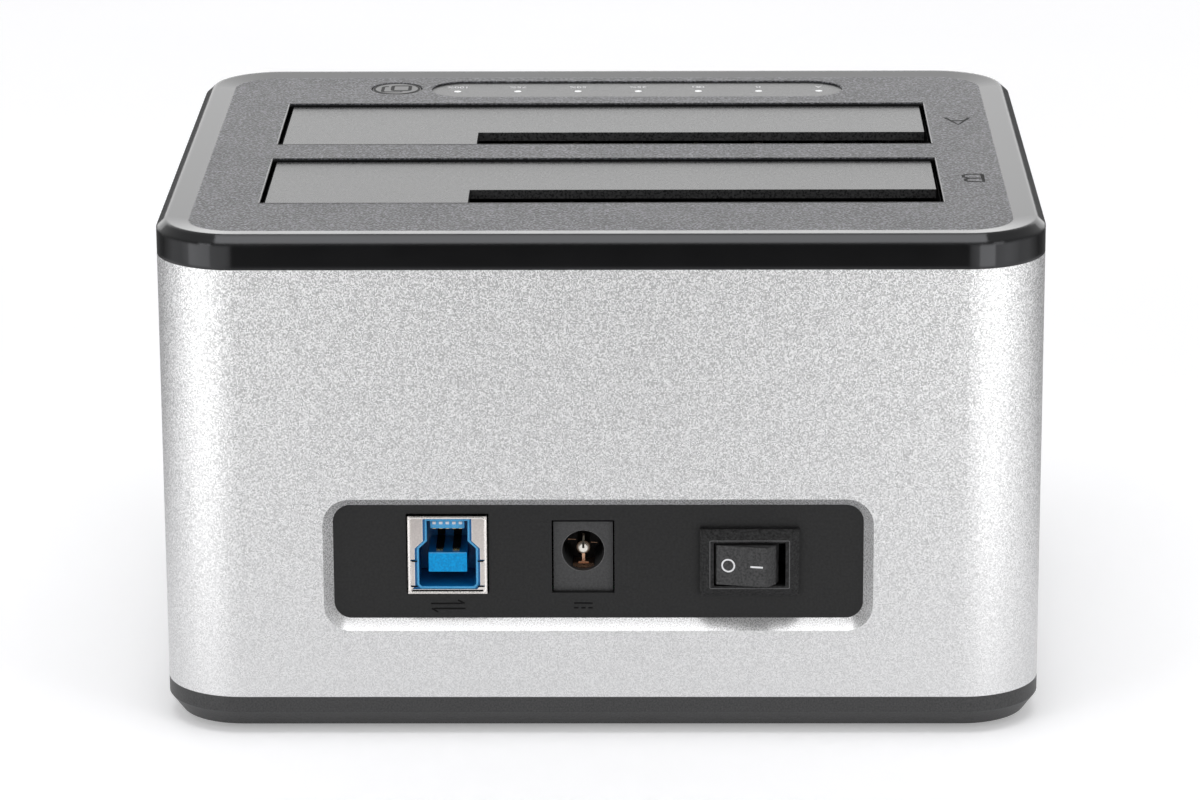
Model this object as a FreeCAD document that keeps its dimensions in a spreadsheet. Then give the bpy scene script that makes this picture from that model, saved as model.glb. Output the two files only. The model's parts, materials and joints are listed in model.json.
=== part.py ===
import FreeCAD, Part

import math
import os
import re

import Sketcher

# A drive duplicator: a desk dock that stands two bare disk drives upright and
# copies one to the other.  An aluminium sleeve stands on a plastic base tray
# and is closed by a plastic cover with two spring-loaded dust doors.
# Millimetres; +Z is up, the sockets face -Y, the status lights lie along +Y,
# and the origin is at the middle of the plane that the rubber feet rest on.

SIZES = {
    # casing
    "body_width": 134.0, "body_depth": 112.0, "corner_radius": 12.1,
    "foot_proud": 1.0, "base_height": 5.0, "sleeve_height": 67.3, "band_height": 3.95,
    "sleeve_wall": 2.0, "base_floor": 2.0, "base_edge_inset": 1.9, "base_edge_rise": 2.55,
    "cover_edge_inset": 1.37, "cover_edge_rise": 1.25, "rim_inset": 4.9, "rim_drop": 0.4,
    "plate_thickness": 2.0, "lip_depth": 3.0, "lip_wall": 1.5, "case_clearance": 0.15,
    # feet and long case screws
    "foot_side_inset": 17.0, "foot_end_inset": 18.0, "foot_radius": 6.0, "foot_seat": 1.0,
    "foot_crown": 0.6, "screw_side_inset": 8.4, "screw_end_inset": 10.0, "screw_radius": 1.5,
    "screw_hole_play": 0.2, "screw_head_radius": 2.7, "screw_head_height": 1.6,
    "screw_head_play": 0.2, "screw_grip": 8.0, "screw_pilot_play": 0.03,
    "screw_pilot_spare": 1.0, "base_boss_radius": 4.1, "base_boss_height": 5.0,
    "cover_boss_radius": 3.4, "cover_boss_drop": 8.0,
    # drive bays
    "slot_width": 104.4, "slot_depth": 28.5, "bay_pitch": 38.0, "bay_middle": -0.95,
    "well_wall": 1.2, "well_gap": 0.2, "well_floor": 1.6, "well_floor_drop": 3.0,
    "far_wall_drop": 6.4, "web_thickness": 1.5, "web_spacing": 36.0, "web_rise": 34.0,
    "receptacle_play": 0.4, "ear_thickness": 2.0, "ear_width": 6.4, "ear_drop": 8.0,
    "frame_boss_radius": 2.6, "frame_screw_inset": 3.2,
    # dust doors
    "door_recess": 0.5, "door_thickness": 1.4, "door_side_gap": 0.7, "door_near_gap": 0.4,
    "door_far_gap": 0.3, "notch_left": -20.45, "notch_depth": 10.0,
    "hinge_below": 1.6, "door_wall_gap": 0.15, "knuckle_radius": 1.3, "knuckle_width": 8.0,
    "knuckle_x": 40.0, "arm_reach": 4.6, "hinge_play": 0.2, "pin_radius": 0.75,
    "pin_fit": 0.02, "knuckle_fit": 0.06, "lug_thickness": 1.6, "lug_reach": 3.2,
    "tab_width": 4.0, "tab_reach": 0.8, "tab_thickness": 1.2, "tab_gap": 0.2,
    "tab_left": -46.0, "tab_right": -26.0, "tab_path_drop": 10.4, "tab_side_play": 0.6,
    "door_spring_wire": 0.4, "door_spring_play": 0.2, "door_spring_turns": 4.0,
    "door_spring_pitch": 0.6, "door_spring_leg": 5.0,
    # main board, receptacles and ports
    "board_top": 22.1, "board_thickness": 1.6, "board_side_inset": 13.5,
    "board_front_gap": 0.5, "board_back_inset": 9.0, "board_screw_inset": 4.5,
    "board_screw_front": 25.5, "board_boss_radius": 3.0, "small_screw_radius": 1.1,
    "small_head_radius": 2.0, "small_head_height": 1.2, "small_screw_length": 6.0,
    "small_screw_grip": 4.0,
    "drive_connector_x": 20.68, "drive_connector_y": 3.75, "receptacle_length": 37.4,
    "receptacle_width": 6.0, "receptacle_height": 9.0, "receptacle_foot": 2.2,
    "signal_slot": 10.6, "power_slot": 20.8, "slot_gap": 2.0, "tongue_slot": 2.4,
    "tongue_key": 1.2, "key_length": 1.6, "mating_depth": 5.2, "contact_pitch": 1.27,
    "contact_width": 0.6, "contact_thickness": 0.3, "contact_drop": 0.8,
    "window_middle": -0.45, "window_above_board": 4.96, "window_width": 83.2,
    "window_height": 20.9, "window_radius": 4.1, "window_bevel": 1.45,
    "panel_margin": 3.2, "panel_thickness": 2.0, "panel_play": 0.05, "panel_rib_spacing": 60.0,
    "panel_rib_width": 8.0, "panel_rib_depth": 2.0, "panel_rib_height": 11.0, "port_play": 0.25,
    # upstream data socket
    "usb_x": -23.3, "usb_width": 12.0, "usb_height": 12.3, "usb_length": 17.6,
    "usb_proud": 0.6, "usb_sheet": 0.3, "usb_tab_high": 1.1, "usb_tab_mid": 5.2,
    "usb_upper_width": 6.3, "usb_lower_width": 8.8, "usb_sill": 1.0, "usb_lower_height": 6.2,
    "usb_slope": 1.2, "usb_upper_height": 3.5, "usb_chamfer": 0.5, "usb_depth": 9.2,
    "usb_mouth_margin": 0.55,
    "usb_tongue_width": 5.84, "usb_tongue_height": 3.1, "usb_tongue_low": 3.1,
    "usb_top_tongue_width": 5.2, "usb_top_tongue_height": 1.28, "usb_top_tongue_drop": 1.0,
    "usb_tongue_back": 1.4, "usb_contact_pitch": 1.0, "usb_contact_width": 0.5,
    "usb_slit": 0.25, "usb_pin_pitch": 2.5, "usb_pin_width": 1.0,
    # low-voltage inlet
    "dc_x": -2.75, "dc_width": 9.0, "dc_height": 11.0, "dc_length": 14.2, "dc_recess": 0.9,
    "dc_hole_radius": 3.2, "dc_hole_height": 6.4, "dc_hole_depth": 10.0,
    "dc_pin_radius": 1.0, "dc_pin_recess": 1.2, "dc_shoulder": 3.2,
    "dc_contact_width": 3.2, "dc_contact_sheet": 0.35,
    # rocker switch
    "switch_x": 22.45, "switch_above_board": 5.06, "bezel_width": 15.03, "bezel_height": 10.55,
    "bezel_thickness": 2.0, "bezel_slope": 1.1, "bezel_bevel": 1.5, "rocker_opening": 10.85,
    "rocker_opening_height": 6.87, "switch_body_width": 13.3, "switch_body_height": 9.0,
    "switch_body_depth": 11.4, "switch_wall": 0.7, "rocker_pivot_depth": 5.4,
    "rocker_face": 6.3, "rocker_face_half": 3.87, "rocker_shoulder": 4.6,
    "rocker_shoulder_half": 4.9, "rocker_skirt": 3.0, "rocker_skirt_half": 5.1,
    "bezel_lip": 0.9,
    "rocker_hub": 2.2, "rocker_hub_back": 1.0, "rocker_gap": 0.35, "rocker_tilt": 11.0,
    "trunnion_radius": 1.0, "trunnion_fit": 0.05, "trunnion_end_gap": 0.1,
    "plunger_radius": 0.9, "plunger_fit": 0.05, "plunger_reach": 4.72, "plunger_length": 4.9,
    "plunger_bore": 3.0, "rocker_spring_wire": 0.25, "rocker_spring_play": 0.05,
    "rocker_spring_turns": 4.0, "blade_depth": 5.0, "blade_thickness": 0.3,
    "blade_half": 4.4, "blade_width": 3.0, "blade_tilt": 8.0, "blade_gap": 0.12,
    "terminal_width": 3.0, "terminal_sheet": 0.5, "terminal_tail": 3.4,
    "terminal_side": 3.9, "wire_radius": 0.6,
    # copy button and status lights
    "lights_from_back": 13.1, "button_x": -35.1, "button_offset": 0.4, "button_radius": 4.1,
    "button_play": 0.2, "button_proud": 0.0, "button_crown": 0.15,
    "flange_radius": 5.2, "flange_thickness": 1.0, "flange_gap": 0.1, "button_post": 1.7,
    "button_post_radius": 1.2, "button_spring_wire": 0.35, "button_spring_play": 0.25,
    "button_spring_turns": 3.0,
    "tact_size": 6.0, "tact_height": 3.5, "tact_plunger": 1.2,
    "tact_rise": 1.0, "tact_gap": 0.4, "tact_hole_play": 0.05,
    "led_board_thickness": 1.2, "led_board_left": 14.9, "led_board_right": 6.25,
    "led_board_half": 5.6, "strip_gap": 1.75, "strip_length": 68.5, "strip_width": 11.3,
    "strip_play": 0.05, "strip_thickness": 0.6, "strip_recess": 0.25, "light_inset": 4.35,
    "light_pitch": 10.04, "light_count": 7.0, "light_radius": 0.6, "light_hole_play": 0.06,
    "light_y_offset": -0.6, "led_size": 1.6, "led_height": 0.8, "guide_gap": 0.2,
    "guide_bar_height": 1.2, "guide_bar_half": 1.2, "guide_bar_end": 2.0, "guide_slot_half": 0.9,
    "led_screw_inset": 3.5, "led_boss_radius": 2.3,
    # leads and parts on the boards
    "ribbon_width": 8.0, "ribbon_thickness": 0.4, "ribbon_bow": 3.0, "ribbon_x": 32.5,
    "socket_height": 3.0, "socket_depth": 4.0, "socket_margin": 1.5,
    "chip_size": 10.0, "chip_height": 1.0, "chip_x": -22.0, "capacitor_radius": 4.0,
    "capacitor_height": 9.0, "capacitor_x": -10.0, "capacitor_spacing": 12.0,
    "parts_inset": 6.5, "coil_size": 8.0, "coil_height": 4.0, "coil_x": 17.0,
}

doc = FreeCAD.newDocument("DriveDuplicator")
sheet = doc.addObject("Spreadsheet::Sheet", "Sizes")
for row, (alias, number) in enumerate(SIZES.items(), start=1):
    sheet.set(f"A{row}", alias.replace("_", " "))
    sheet.set(f"B{row}", str(number))
    sheet.setAlias(f"B{row}", alias)
doc.recompute()

# Heights and depths that several pieces share, as formulas over the sheet.
BASE_TOP = "(foot_proud + base_height)"
SLEEVE_TOP = f"({BASE_TOP} + sleeve_height)"
BAND_TOP = f"({SLEEVE_TOP} + band_height)"
RIDGE = f"({BAND_TOP} + cover_edge_rise)"
TOP = f"({RIDGE} - rim_drop)"
PLATE_UNDER = f"({TOP} - plate_thickness)"
BASE_INSIDE = "(foot_proud + base_floor)"
BOARD_UNDER = "(board_top - board_thickness)"
CASE_SCREW_SEAT = "(foot_proud + base_floor + screw_head_height)"
FRONT = "(0 - body_depth / 2)"
BOARD_SIDE = "(body_width / 2 - board_side_inset)"
BOARD_BACK = "(body_depth / 2 - board_back_inset)"
LIGHTS_Y = "(body_depth / 2 - lights_from_back)"
LIGHT_Y = f"({LIGHTS_Y} + light_y_offset)"
BUTTON_Y = f"({LIGHTS_Y} + button_offset)"
STRIP_LEFT = "(button_x + button_radius + strip_gap)"
STRIP_X = f"({STRIP_LEFT} + strip_length / 2)"
LIGHT_FIRST = f"({STRIP_LEFT} + light_inset)"
LED_BOARD_LEFT = "(button_x - led_board_left)"
LED_BOARD_RIGHT = f"({STRIP_LEFT} + strip_length + led_board_right)"
PANEL_FRONT = f"({FRONT} + sleeve_wall)"
PANEL_BACK = f"({PANEL_FRONT} + panel_thickness)"
WINDOW_Z = "(board_top + window_above_board)"
WELL_TOP = f"({PLATE_UNDER} - well_gap)"
RECEPTACLE_TOP = "(board_top + receptacle_height)"
FLOOR_TOP = f"({RECEPTACLE_TOP} - well_floor_drop)"
DOOR_TOP = f"({TOP} - door_recess)"
DOOR_UNDER = f"({DOOR_TOP} - door_thickness)"
HINGE_Z = f"({DOOR_UNDER} - hinge_below)"
NEAR = {"1": "(bay_middle + bay_pitch / 2 - slot_depth / 2)",
        "2": "(bay_middle - bay_pitch / 2 - slot_depth / 2)"}
FAR = {bay: f"({near} + slot_depth)" for bay, near in NEAR.items()}
HINGE_Y = {bay: f"({far} + hinge_below - door_wall_gap)" for bay, far in FAR.items()}
LED_BOARD_TOP = (f"({PLATE_UNDER} - flange_gap - flange_thickness - button_post"
                 " - tact_gap - tact_rise - tact_height)")
SWITCH_Z = "(board_top + switch_above_board)"
PIVOT_Y = f"({PANEL_FRONT} - bezel_thickness + rocker_pivot_depth)"
DC_Z = "(board_top + dc_hole_height)"
COVER_BOSS_LOW = f"({SLEEVE_TOP} - cover_boss_drop)"
EAR_TOP = f"({WELL_TOP} - ear_drop)"
CONNECTOR_Y = {bay: f"({near} + drive_connector_y)" for bay, near in NEAR.items()}

X, Y, Z = FreeCAD.Vector(1, 0, 0), FreeCAD.Vector(0, 1, 0), FreeCAD.Vector(0, 0, 1)
ALONG = {"Z": FreeCAD.Rotation(), "X": FreeCAD.Rotation(Y, 90), "Y": FreeCAD.Rotation(X, -90)}
RUNS_PER_TURN = 14
subparts = []


def formula(text):
    """The text with each size written as a reference to its cell."""
    text = str(text)
    return re.sub(r"[a-z]\w*", lambda m: "Sizes." + m[0] if m[0] in SIZES else m[0], text)


def value(text):
    """What a formula over the sheet comes to."""
    return float(sheet.evalExpression(formula(text)))


def bind(thing, **properties):
    for name, text in properties.items():
        thing.setExpression(name, formula(text))
    return thing


def put(thing, x=0, y=0, z=0):
    for axis, text in zip("xyz", (x, y, z)):
        thing.setExpression(f".Placement.Base.{axis}", formula(text))
    return thing


def box(name, low, size):
    """A box from its low corner and its size along X, Y and Z."""
    solid = doc.addObject("Part::Box", name)
    bind(solid, Length=size[0], Width=size[1], Height=size[2])
    return put(solid, *low)


def middle_box(name, middle, size):
    """A box about a point in X and Y, standing on its low Z."""
    return box(name, (f"{middle[0]} - ({size[0]}) / 2", f"{middle[1]} - ({size[1]}) / 2",
                      middle[2]), size)


def rod(name, foot, radius, length, along="Z"):
    solid = doc.addObject("Part::Cylinder", name)
    solid.Placement = FreeCAD.Placement(FreeCAD.Vector(), ALONG[along])
    bind(solid, Radius=radius, Height=length)
    return put(solid, *foot)


def fuse(name, pieces):
    joined = doc.addObject("Part::MultiFuse", name)
    joined.Shapes = pieces
    joined.Refine = True
    return joined


def cut(name, base, tools):
    result = doc.addObject("Part::Cut", name)
    result.Base = base
    result.Tool = tools[0] if len(tools) == 1 else group(name + "_tools", tools)
    result.Refine = True
    return result


def group(name, pieces):
    """Separate solids kept in one shape."""
    several = doc.addObject("Part::Compound", name)
    several.Links = pieces
    return several


def subpart(node, thing):
    thing.Label = node
    subparts.append(thing)
    return thing


def origin_plane(body, role):
    return next(f for f in body.Origin.OriginFeatures if f.Role == role)


def sketch_on(body, role, offset, name):
    """A sketch of the body on one of its origin planes, moved along the normal."""
    sketch = body.newObject("Sketcher::SketchObject", name)
    sketch.AttachmentSupport = [(origin_plane(body, role), "")]
    sketch.MapMode = "FlatFace"
    sketch.setExpression("AttachmentOffset.Base.z", formula(offset))
    return sketch


def add_constraint(sketch, kind, places, name, text):
    """A dimension of the sketch, driven by a formula."""
    index = sketch.addConstraint(Sketcher.Constraint(kind, *places))
    sketch.renameConstraint(index, name)
    sketch.setExpression(f"Constraints.{name}", formula(text))


def rounded_rectangle(sketch, width, height, radius, middle=("0", "0"), tag=""):
    """Four sides and four tangent corner arcs, centred on a point of the sketch."""
    w, h, r = value(width) / 2, value(height) / 2, value(radius)
    u, v = value(middle[0]), value(middle[1])
    corners = [(u + w, v - h), (u + w, v + h), (u - w, v + h), (u - w, v - h)]
    centres = [(u + w - r, v - h + r), (u + w - r, v + h - r),
               (u - w + r, v + h - r), (u - w + r, v - h + r)]
    first = sketch.GeometryCount
    for k in range(4):
        (ax, ay), (bx, by) = centres[k], centres[(k + 1) % 4]
        side = FreeCAD.Vector(corners[k][0] + corners[(k + 1) % 4][0] - ax - bx,
                              corners[k][1] + corners[(k + 1) % 4][1] - ay - by)
        side = side.multiply(0.5)
        sketch.addGeometry(Part.LineSegment(FreeCAD.Vector(ax, ay) + side,
                                            FreeCAD.Vector(bx, by) + side), False)
        turn = math.pi / 2 * k
        arc = Part.Circle(FreeCAD.Vector(bx, by), Z, r)
        sketch.addGeometry(Part.ArcOfCircle(arc, turn, turn + math.pi / 2), False)
    for k in range(4):
        line, arc, nxt = first + 2 * k, first + 2 * k + 1, first + (2 * k + 2) % 8
        sketch.addConstraint(Sketcher.Constraint("Tangent", line, 2, arc, 1))
        sketch.addConstraint(Sketcher.Constraint("Tangent", arc, 2, nxt, 1))
        if k:
            sketch.addConstraint(Sketcher.Constraint("Equal", first + 1, arc))
    for k, kind in enumerate(("Vertical", "Horizontal", "Vertical", "Horizontal")):
        sketch.addConstraint(Sketcher.Constraint(kind, first + 2 * k))
    right, top, left, bottom = (first + 2 * k for k in range(4))
    add_constraint(sketch, "Radius", (first + 1, r), tag + "radius", radius)
    add_constraint(sketch, "DistanceX", (-1, 1, right, 1, u + w), tag + "right",
                   f"({middle[0]}) + ({width}) / 2")
    add_constraint(sketch, "DistanceX", (-1, 1, left, 1, u - w), tag + "left",
                   f"({middle[0]}) - ({width}) / 2")
    add_constraint(sketch, "DistanceY", (-1, 1, top, 1, v + h), tag + "top",
                   f"({middle[1]}) + ({height}) / 2")
    add_constraint(sketch, "DistanceY", (-1, 1, bottom, 1, v - h), tag + "bottom",
                   f"({middle[1]}) - ({height}) / 2")
    return sketch


def polygon(sketch, corners):
    """A closed outline through corners that are pairs of formulas."""
    spots = [FreeCAD.Vector(value(u), value(v)) for u, v in corners]
    count = len(spots)
    for k in range(count):
        sketch.addGeometry(Part.LineSegment(spots[k], spots[(k + 1) % count]), False)
    for k in range(count):
        sketch.addConstraint(Sketcher.Constraint("Coincident", k, 2, (k + 1) % count, 1))
    for k, (u, v) in enumerate(corners):
        add_constraint(sketch, "DistanceX", (-1, 1, k, 1, spots[k].x), f"u{k}", u)
        add_constraint(sketch, "DistanceY", (-1, 1, k, 1, spots[k].y), f"v{k}", v)
    return sketch


def new_body(name):
    return doc.addObject("PartDesign::Body", name)


def feature(body, kind, name, profile, **properties):
    """A PartDesign feature on a profile, with its sizes as formulas."""
    made = body.newObject("PartDesign::" + kind, name)
    made.Profile = profile
    return bind(made, **properties)


def rounded_block(name, width, height, radius, low, tall, middle=("0", "0")):
    """A body of one padded rounded rectangle in plan."""
    body = new_body(name)
    sketch = rounded_rectangle(sketch_on(body, "XY_Plane", low, name + "_plan"),
                               width, height, radius, middle)
    feature(body, "Pad", name + "_pad", sketch, Length=tall)
    return body


def prism(name, role, corners, start, thickness):
    """A body of one padded outline, standing off an origin plane."""
    body = new_body(name)
    sketch = polygon(sketch_on(body, role, start, name + "_outline"), corners)
    feature(body, "Pad", name + "_pad", sketch, Length=thickness)
    return body


# ---------------------------------------------------------------- casing

def corner_spots(x, y):
    """The four places that mirror one place about both middle planes."""
    return [(f"{side} * {x}", f"{end} * {y}") for side in ("(0 - 1)", "1")
            for end in ("(0 - 1)", "1")]


def tapered_shell(name, sections):
    """Loft rounded rectangles of the body's plan; a section is its height and inset."""
    body = new_body(name)
    sketches = []
    for index, (height, inset) in enumerate(sections):
        sketch = sketch_on(body, "XY_Plane", height, f"{name}_section{index}")
        rounded_rectangle(sketch, f"body_width - 2 * {inset}", f"body_depth - 2 * {inset}",
                          f"corner_radius - {inset}")
        sketches.append(sketch)
    for index in range(len(sections) - 1):
        loft = body.newObject("PartDesign::AdditiveLoft", f"{name}_loft{index}")
        loft.Profile = sketches[index]
        loft.Sections = [sketches[index + 1]]
        loft.Ruled = True
    return body


def inner_ring(name, low, tall, inset, wall):
    """A rounded-rectangle rib that follows the inside of the case."""
    width, depth = f"(body_width - 2 * ({inset}))", f"(body_depth - 2 * ({inset}))"
    body = new_body(name)
    sketch = sketch_on(body, "XY_Plane", low, name + "_plan")
    rounded_rectangle(sketch, width, depth, f"corner_radius - ({inset})", tag="outer_")
    rounded_rectangle(sketch, f"{width} - 2 * ({wall})", f"{depth} - 2 * ({wall})",
                      f"corner_radius - ({inset}) - ({wall})", tag="inner_")
    feature(body, "Pad", name + "_pad", sketch, Length=tall)
    return body


def make_sleeve():
    """Extruded aluminium tube with a bevelled window for the sockets."""
    body = new_body("Sleeve")
    sketch = sketch_on(body, "XY_Plane", BASE_TOP, "sleeve_plan")
    rounded_rectangle(sketch, "body_width", "body_depth", "corner_radius", tag="outer_")
    rounded_rectangle(sketch, "body_width - 2 * sleeve_wall", "body_depth - 2 * sleeve_wall",
                      "corner_radius - sleeve_wall", tag="inner_")
    feature(body, "Pad", "sleeve_pad", sketch, Length="sleeve_height")
    window = body.newObject("PartDesign::SubtractiveLoft", "sleeve_window")
    sections = []
    for index, (depth, bevel) in enumerate((("0", "0"), ("sleeve_wall", "window_bevel"))):
        section = sketch_on(body, "XZ_Plane", f"body_depth / 2 - {depth}",
                            f"sleeve_window{index}")
        rounded_rectangle(section, f"window_width - 2 * {bevel}",
                          f"window_height - 2 * {bevel}", f"window_radius - {bevel}",
                          ("window_middle", WINDOW_Z))
        sections.append(section)
    window.Profile = sections[0]
    window.Sections = [sections[1]]
    window.Ruled = True
    subpart("aluminium_sleeve", body)


def make_base_tray():
    """Base with a chamfered foot edge, a lip inside the sleeve, posts and panel ribs."""
    shell = tapered_shell("BaseShell", [
        ("foot_proud", "base_edge_inset"), ("foot_proud + base_edge_rise", "0"),
        (BASE_TOP, "0")])
    inset = "(sleeve_wall + case_clearance)"
    lip = inner_ring("BaseLip", f"{BASE_TOP} - 1", "lip_depth + 1", inset, "lip_wall")
    hollow = rounded_block("BaseHollow", f"body_width - 2 * ({inset} + lip_wall)",
                           f"body_depth - 2 * ({inset} + lip_wall)",
                           f"corner_radius - {inset} - lip_wall", BASE_INSIDE, "base_height")
    dished = cut("BaseDish", shell, [hollow])
    extras = [lip]
    holes = [box("PanelSlot", ("window_middle - window_width / 2 - panel_margin - panel_play",
                               PANEL_FRONT, BASE_INSIDE),
                 ("window_width + 2 * (panel_margin + panel_play)",
                  "panel_thickness + panel_play", "base_height + lip_depth"))]
    for index, (x, y) in enumerate(case_screw_spots()):
        extras.append(rod(f"BaseBoss{index}", (x, y, "foot_proud"), "base_boss_radius",
                          "base_floor + base_boss_height"))
        holes += [rod(f"BaseScrewHole{index}", (x, y, "0"), "screw_radius + screw_hole_play",
                      f"{BASE_INSIDE} + base_boss_height + 1"),
                  rod(f"BaseHeadWell{index}", (x, y, "0"),
                      "screw_head_radius + screw_head_play", CASE_SCREW_SEAT)]
    for index, (x, y) in enumerate(board_screw_spots()):
        extras.append(rod(f"BoardBoss{index}", (x, y, "foot_proud"), "board_boss_radius",
                          f"{BOARD_UNDER} - foot_proud"))
        holes.append(rod(f"BoardBossHole{index}", (x, y, f"{BOARD_UNDER} - small_screw_length"),
                         "small_screw_radius + screw_pilot_play", "small_screw_length + 1"))
    for index, side in enumerate(("(0 - 1)", "1")):
        extras.append(middle_box(f"PanelRib{index}", (
            f"window_middle + {side} * panel_rib_spacing / 2",
            f"{PANEL_BACK} + panel_play + panel_rib_depth / 2", "foot_proud"),
            ("panel_rib_width", "panel_rib_depth", "panel_rib_height")))
    for index, (x, y) in enumerate(foot_spots()):
        holes.append(rod(f"FootSeat{index}", (x, y, "0"), "foot_radius",
                         "foot_proud + foot_seat"))
    subpart("base_tray", cut("BaseTray", fuse("BaseSolid", [dished] + extras), holes))


def foot_spots():
    return corner_spots("(body_width / 2 - foot_side_inset)", "(body_depth / 2 - foot_end_inset)")


def case_screw_spots():
    return corner_spots("(body_width / 2 - screw_side_inset)",
                        "(body_depth / 2 - screw_end_inset)")


def board_screw_spots():
    return [(f"{side} * ({BOARD_SIDE} - board_screw_inset)", y) for side in ("(0 - 1)", "1")
            for y in (f"{FRONT} + board_screw_front", f"{BOARD_BACK} - board_screw_inset")]


def make_feet():
    """Four round rubber feet, turned with a rounded lower rim."""
    feet = []
    for index, (x, y) in enumerate(foot_spots()):
        foot = new_body(f"Foot{index}")
        tall = "foot_proud + foot_seat"
        sketch = polygon(sketch_on(foot, "XZ_Plane", "0", f"foot_profile{index}"), [
            ("0", "0"), ("foot_radius - foot_crown", "0"), ("foot_radius", "foot_crown"),
            ("foot_radius", tall), ("0", tall)])
        turn = feature(foot, "Revolution", f"foot_turn{index}", sketch)
        turn.ReferenceAxis = (sketch, ["V_Axis"])
        put(foot, x, y, "0")
        feet.append(foot)
    subpart("rubber_feet", group("Feet", feet))


def screw(name, spot, under_head, shank_radius, shank, head_radius, head, down=False):
    """A cheese-head screw, its shank upward unless it points down."""
    x, y = spot
    shank_low = f"{under_head} - ({shank})" if down else under_head
    head_low = under_head if down else f"{under_head} - ({head})"
    return fuse(name, [rod(name + "_shank", (x, y, shank_low), shank_radius, shank),
                       rod(name + "_head", (x, y, head_low), head_radius, head)])


def make_case_screws():
    """Long screws from under the base into the cover's bosses, which clamp the sleeve."""
    screws = [screw(f"CaseScrew{k}", spot, CASE_SCREW_SEAT, "screw_radius",
                    f"{COVER_BOSS_LOW} + screw_grip - {CASE_SCREW_SEAT}",
                    "screw_head_radius", "screw_head_height")
              for k, spot in enumerate(case_screw_spots())]
    subpart("case_screws", group("CaseScrews", screws))


def hinge_edges(bay):
    """Left edges along X of the lugs beside each knuckle, with the knuckle's middle."""
    for side in ("(0 - 1)", "1"):
        middle = f"{side} * knuckle_x"
        yield middle, [f"{middle} - knuckle_width / 2 - hinge_play - lug_thickness",
                       f"{middle} + knuckle_width / 2 + hinge_play"]


def make_top_cover():
    """Gloss cover: chamfered edge, dished textured top, bay slots, lugs and posts."""
    shell = tapered_shell("CoverShell", [
        (SLEEVE_TOP, "0"), (BAND_TOP, "0"), (RIDGE, "cover_edge_inset")])
    dish = shell.newObject("PartDesign::SubtractiveLoft", "cover_dish")
    sections = []
    for index, (height, inset) in enumerate(((RIDGE, "cover_edge_inset"),
                                             (TOP, "rim_inset"))):
        sketch = sketch_on(shell, "XY_Plane", height, f"cover_dish{index}")
        rounded_rectangle(sketch, f"body_width - 2 * {inset}", f"body_depth - 2 * {inset}",
                          f"corner_radius - {inset}")
        sections.append(sketch)
    dish.Profile = sections[0]
    dish.Sections = [sections[1]]
    dish.Ruled = True
    inset = "(sleeve_wall + case_clearance)"
    inner = f"({inset} + lip_wall)"
    lip = rounded_block("CoverLip", f"body_width - 2 * {inset}", f"body_depth - 2 * {inset}",
                        f"corner_radius - {inset}", f"{SLEEVE_TOP} - lip_depth",
                        "lip_depth + 1")
    hollow = rounded_block("CoverHollow", f"body_width - 2 * {inner}",
                           f"body_depth - 2 * {inner}", f"corner_radius - {inner}",
                           f"{SLEEVE_TOP} - lip_depth - 1",
                           f"{PLATE_UNDER} - {SLEEVE_TOP} + lip_depth + 1")
    cap = cut("CoverCap", fuse("CoverBlank", [shell, lip]), [hollow])
    extras, holes = [cap], []
    for bay in ("1", "2"):
        holes.append(box(f"Slot{bay}", ("0 - slot_width / 2", NEAR[bay], f"{PLATE_UNDER} - 1"),
                         ("slot_width", "slot_depth", "plate_thickness + 3")))
        for _, lefts in hinge_edges(bay):
            for left in lefts:
                tag = f"{bay}_{len(extras)}"
                extras.append(box(f"Lug{tag}", (left, f"{FAR[bay]} + 0.1",
                                  f"{HINGE_Z} - knuckle_radius - 0.4"),
                                  ("lug_thickness", "lug_reach",
                                   f"{PLATE_UNDER} - {HINGE_Z} + knuckle_radius + 0.5")))
        holes.append(rod(f"LugHole{bay}", ("0 - slot_width / 2", HINGE_Y[bay], HINGE_Z),
                         "pin_radius + pin_fit", "slot_width", "X"))
    bosses = ([(spot, COVER_BOSS_LOW, "cover_boss_radius", "screw_radius", "screw_grip")
               for spot in case_screw_spots()]
              + [(spot, EAR_TOP, "frame_boss_radius", "small_screw_radius", "small_screw_grip")
                 for spot in frame_screw_spots()]
              + [(spot, LED_BOARD_TOP, "led_boss_radius", "small_screw_radius",
                  "small_screw_grip") for spot in led_screw_spots()])
    for index, ((x, y), low, radius, screw_radius, grip) in enumerate(bosses):
        extras.append(rod(f"CoverBoss{index}", (x, y, low), radius,
                          f"{PLATE_UNDER} - {low} + plate_thickness / 2"))
        holes.append(rod(f"CoverBossHole{index}", (x, y, f"{low} - 1"),
                         f"{screw_radius} + screw_pilot_play",
                         f"{grip} + screw_pilot_spare + 1"))
    holes.append(rod("ButtonHole", ("button_x", BUTTON_Y, f"{PLATE_UNDER} - 1"),
                     "button_radius + button_play", "plate_thickness + 3"))
    holes.append(rounded_block("StripSeat", "strip_length", "strip_width",
                               "strip_width / 2 - 0.01",
                               f"{TOP} - strip_recess - strip_thickness", "5",
                               (STRIP_X, LIGHTS_Y)))
    holes.append(box("GuideSlot", (f"{LIGHT_FIRST} - guide_bar_end / 2",
                                   f"{LIGHT_Y} - guide_slot_half", f"{PLATE_UNDER} - 1"),
                     ("(light_count - 1) * light_pitch + guide_bar_end",
                      "2 * guide_slot_half", "plate_thickness + 2")))
    subpart("top_cover", cut("TopCover", fuse("CoverSolid", extras), holes))


def frame_screw_spots():
    """Places between the bays of the screws that hold the bay frame under the cover."""
    return [(f"{side} * (slot_width / 2 - frame_screw_inset)", "bay_middle")
            for side in ("(0 - 1)", "1")]


def led_screw_spots():
    return [(x, BUTTON_Y) for x in (f"{LED_BOARD_LEFT} + led_screw_inset",
                                    f"{LED_BOARD_RIGHT} - led_screw_inset")]


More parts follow.
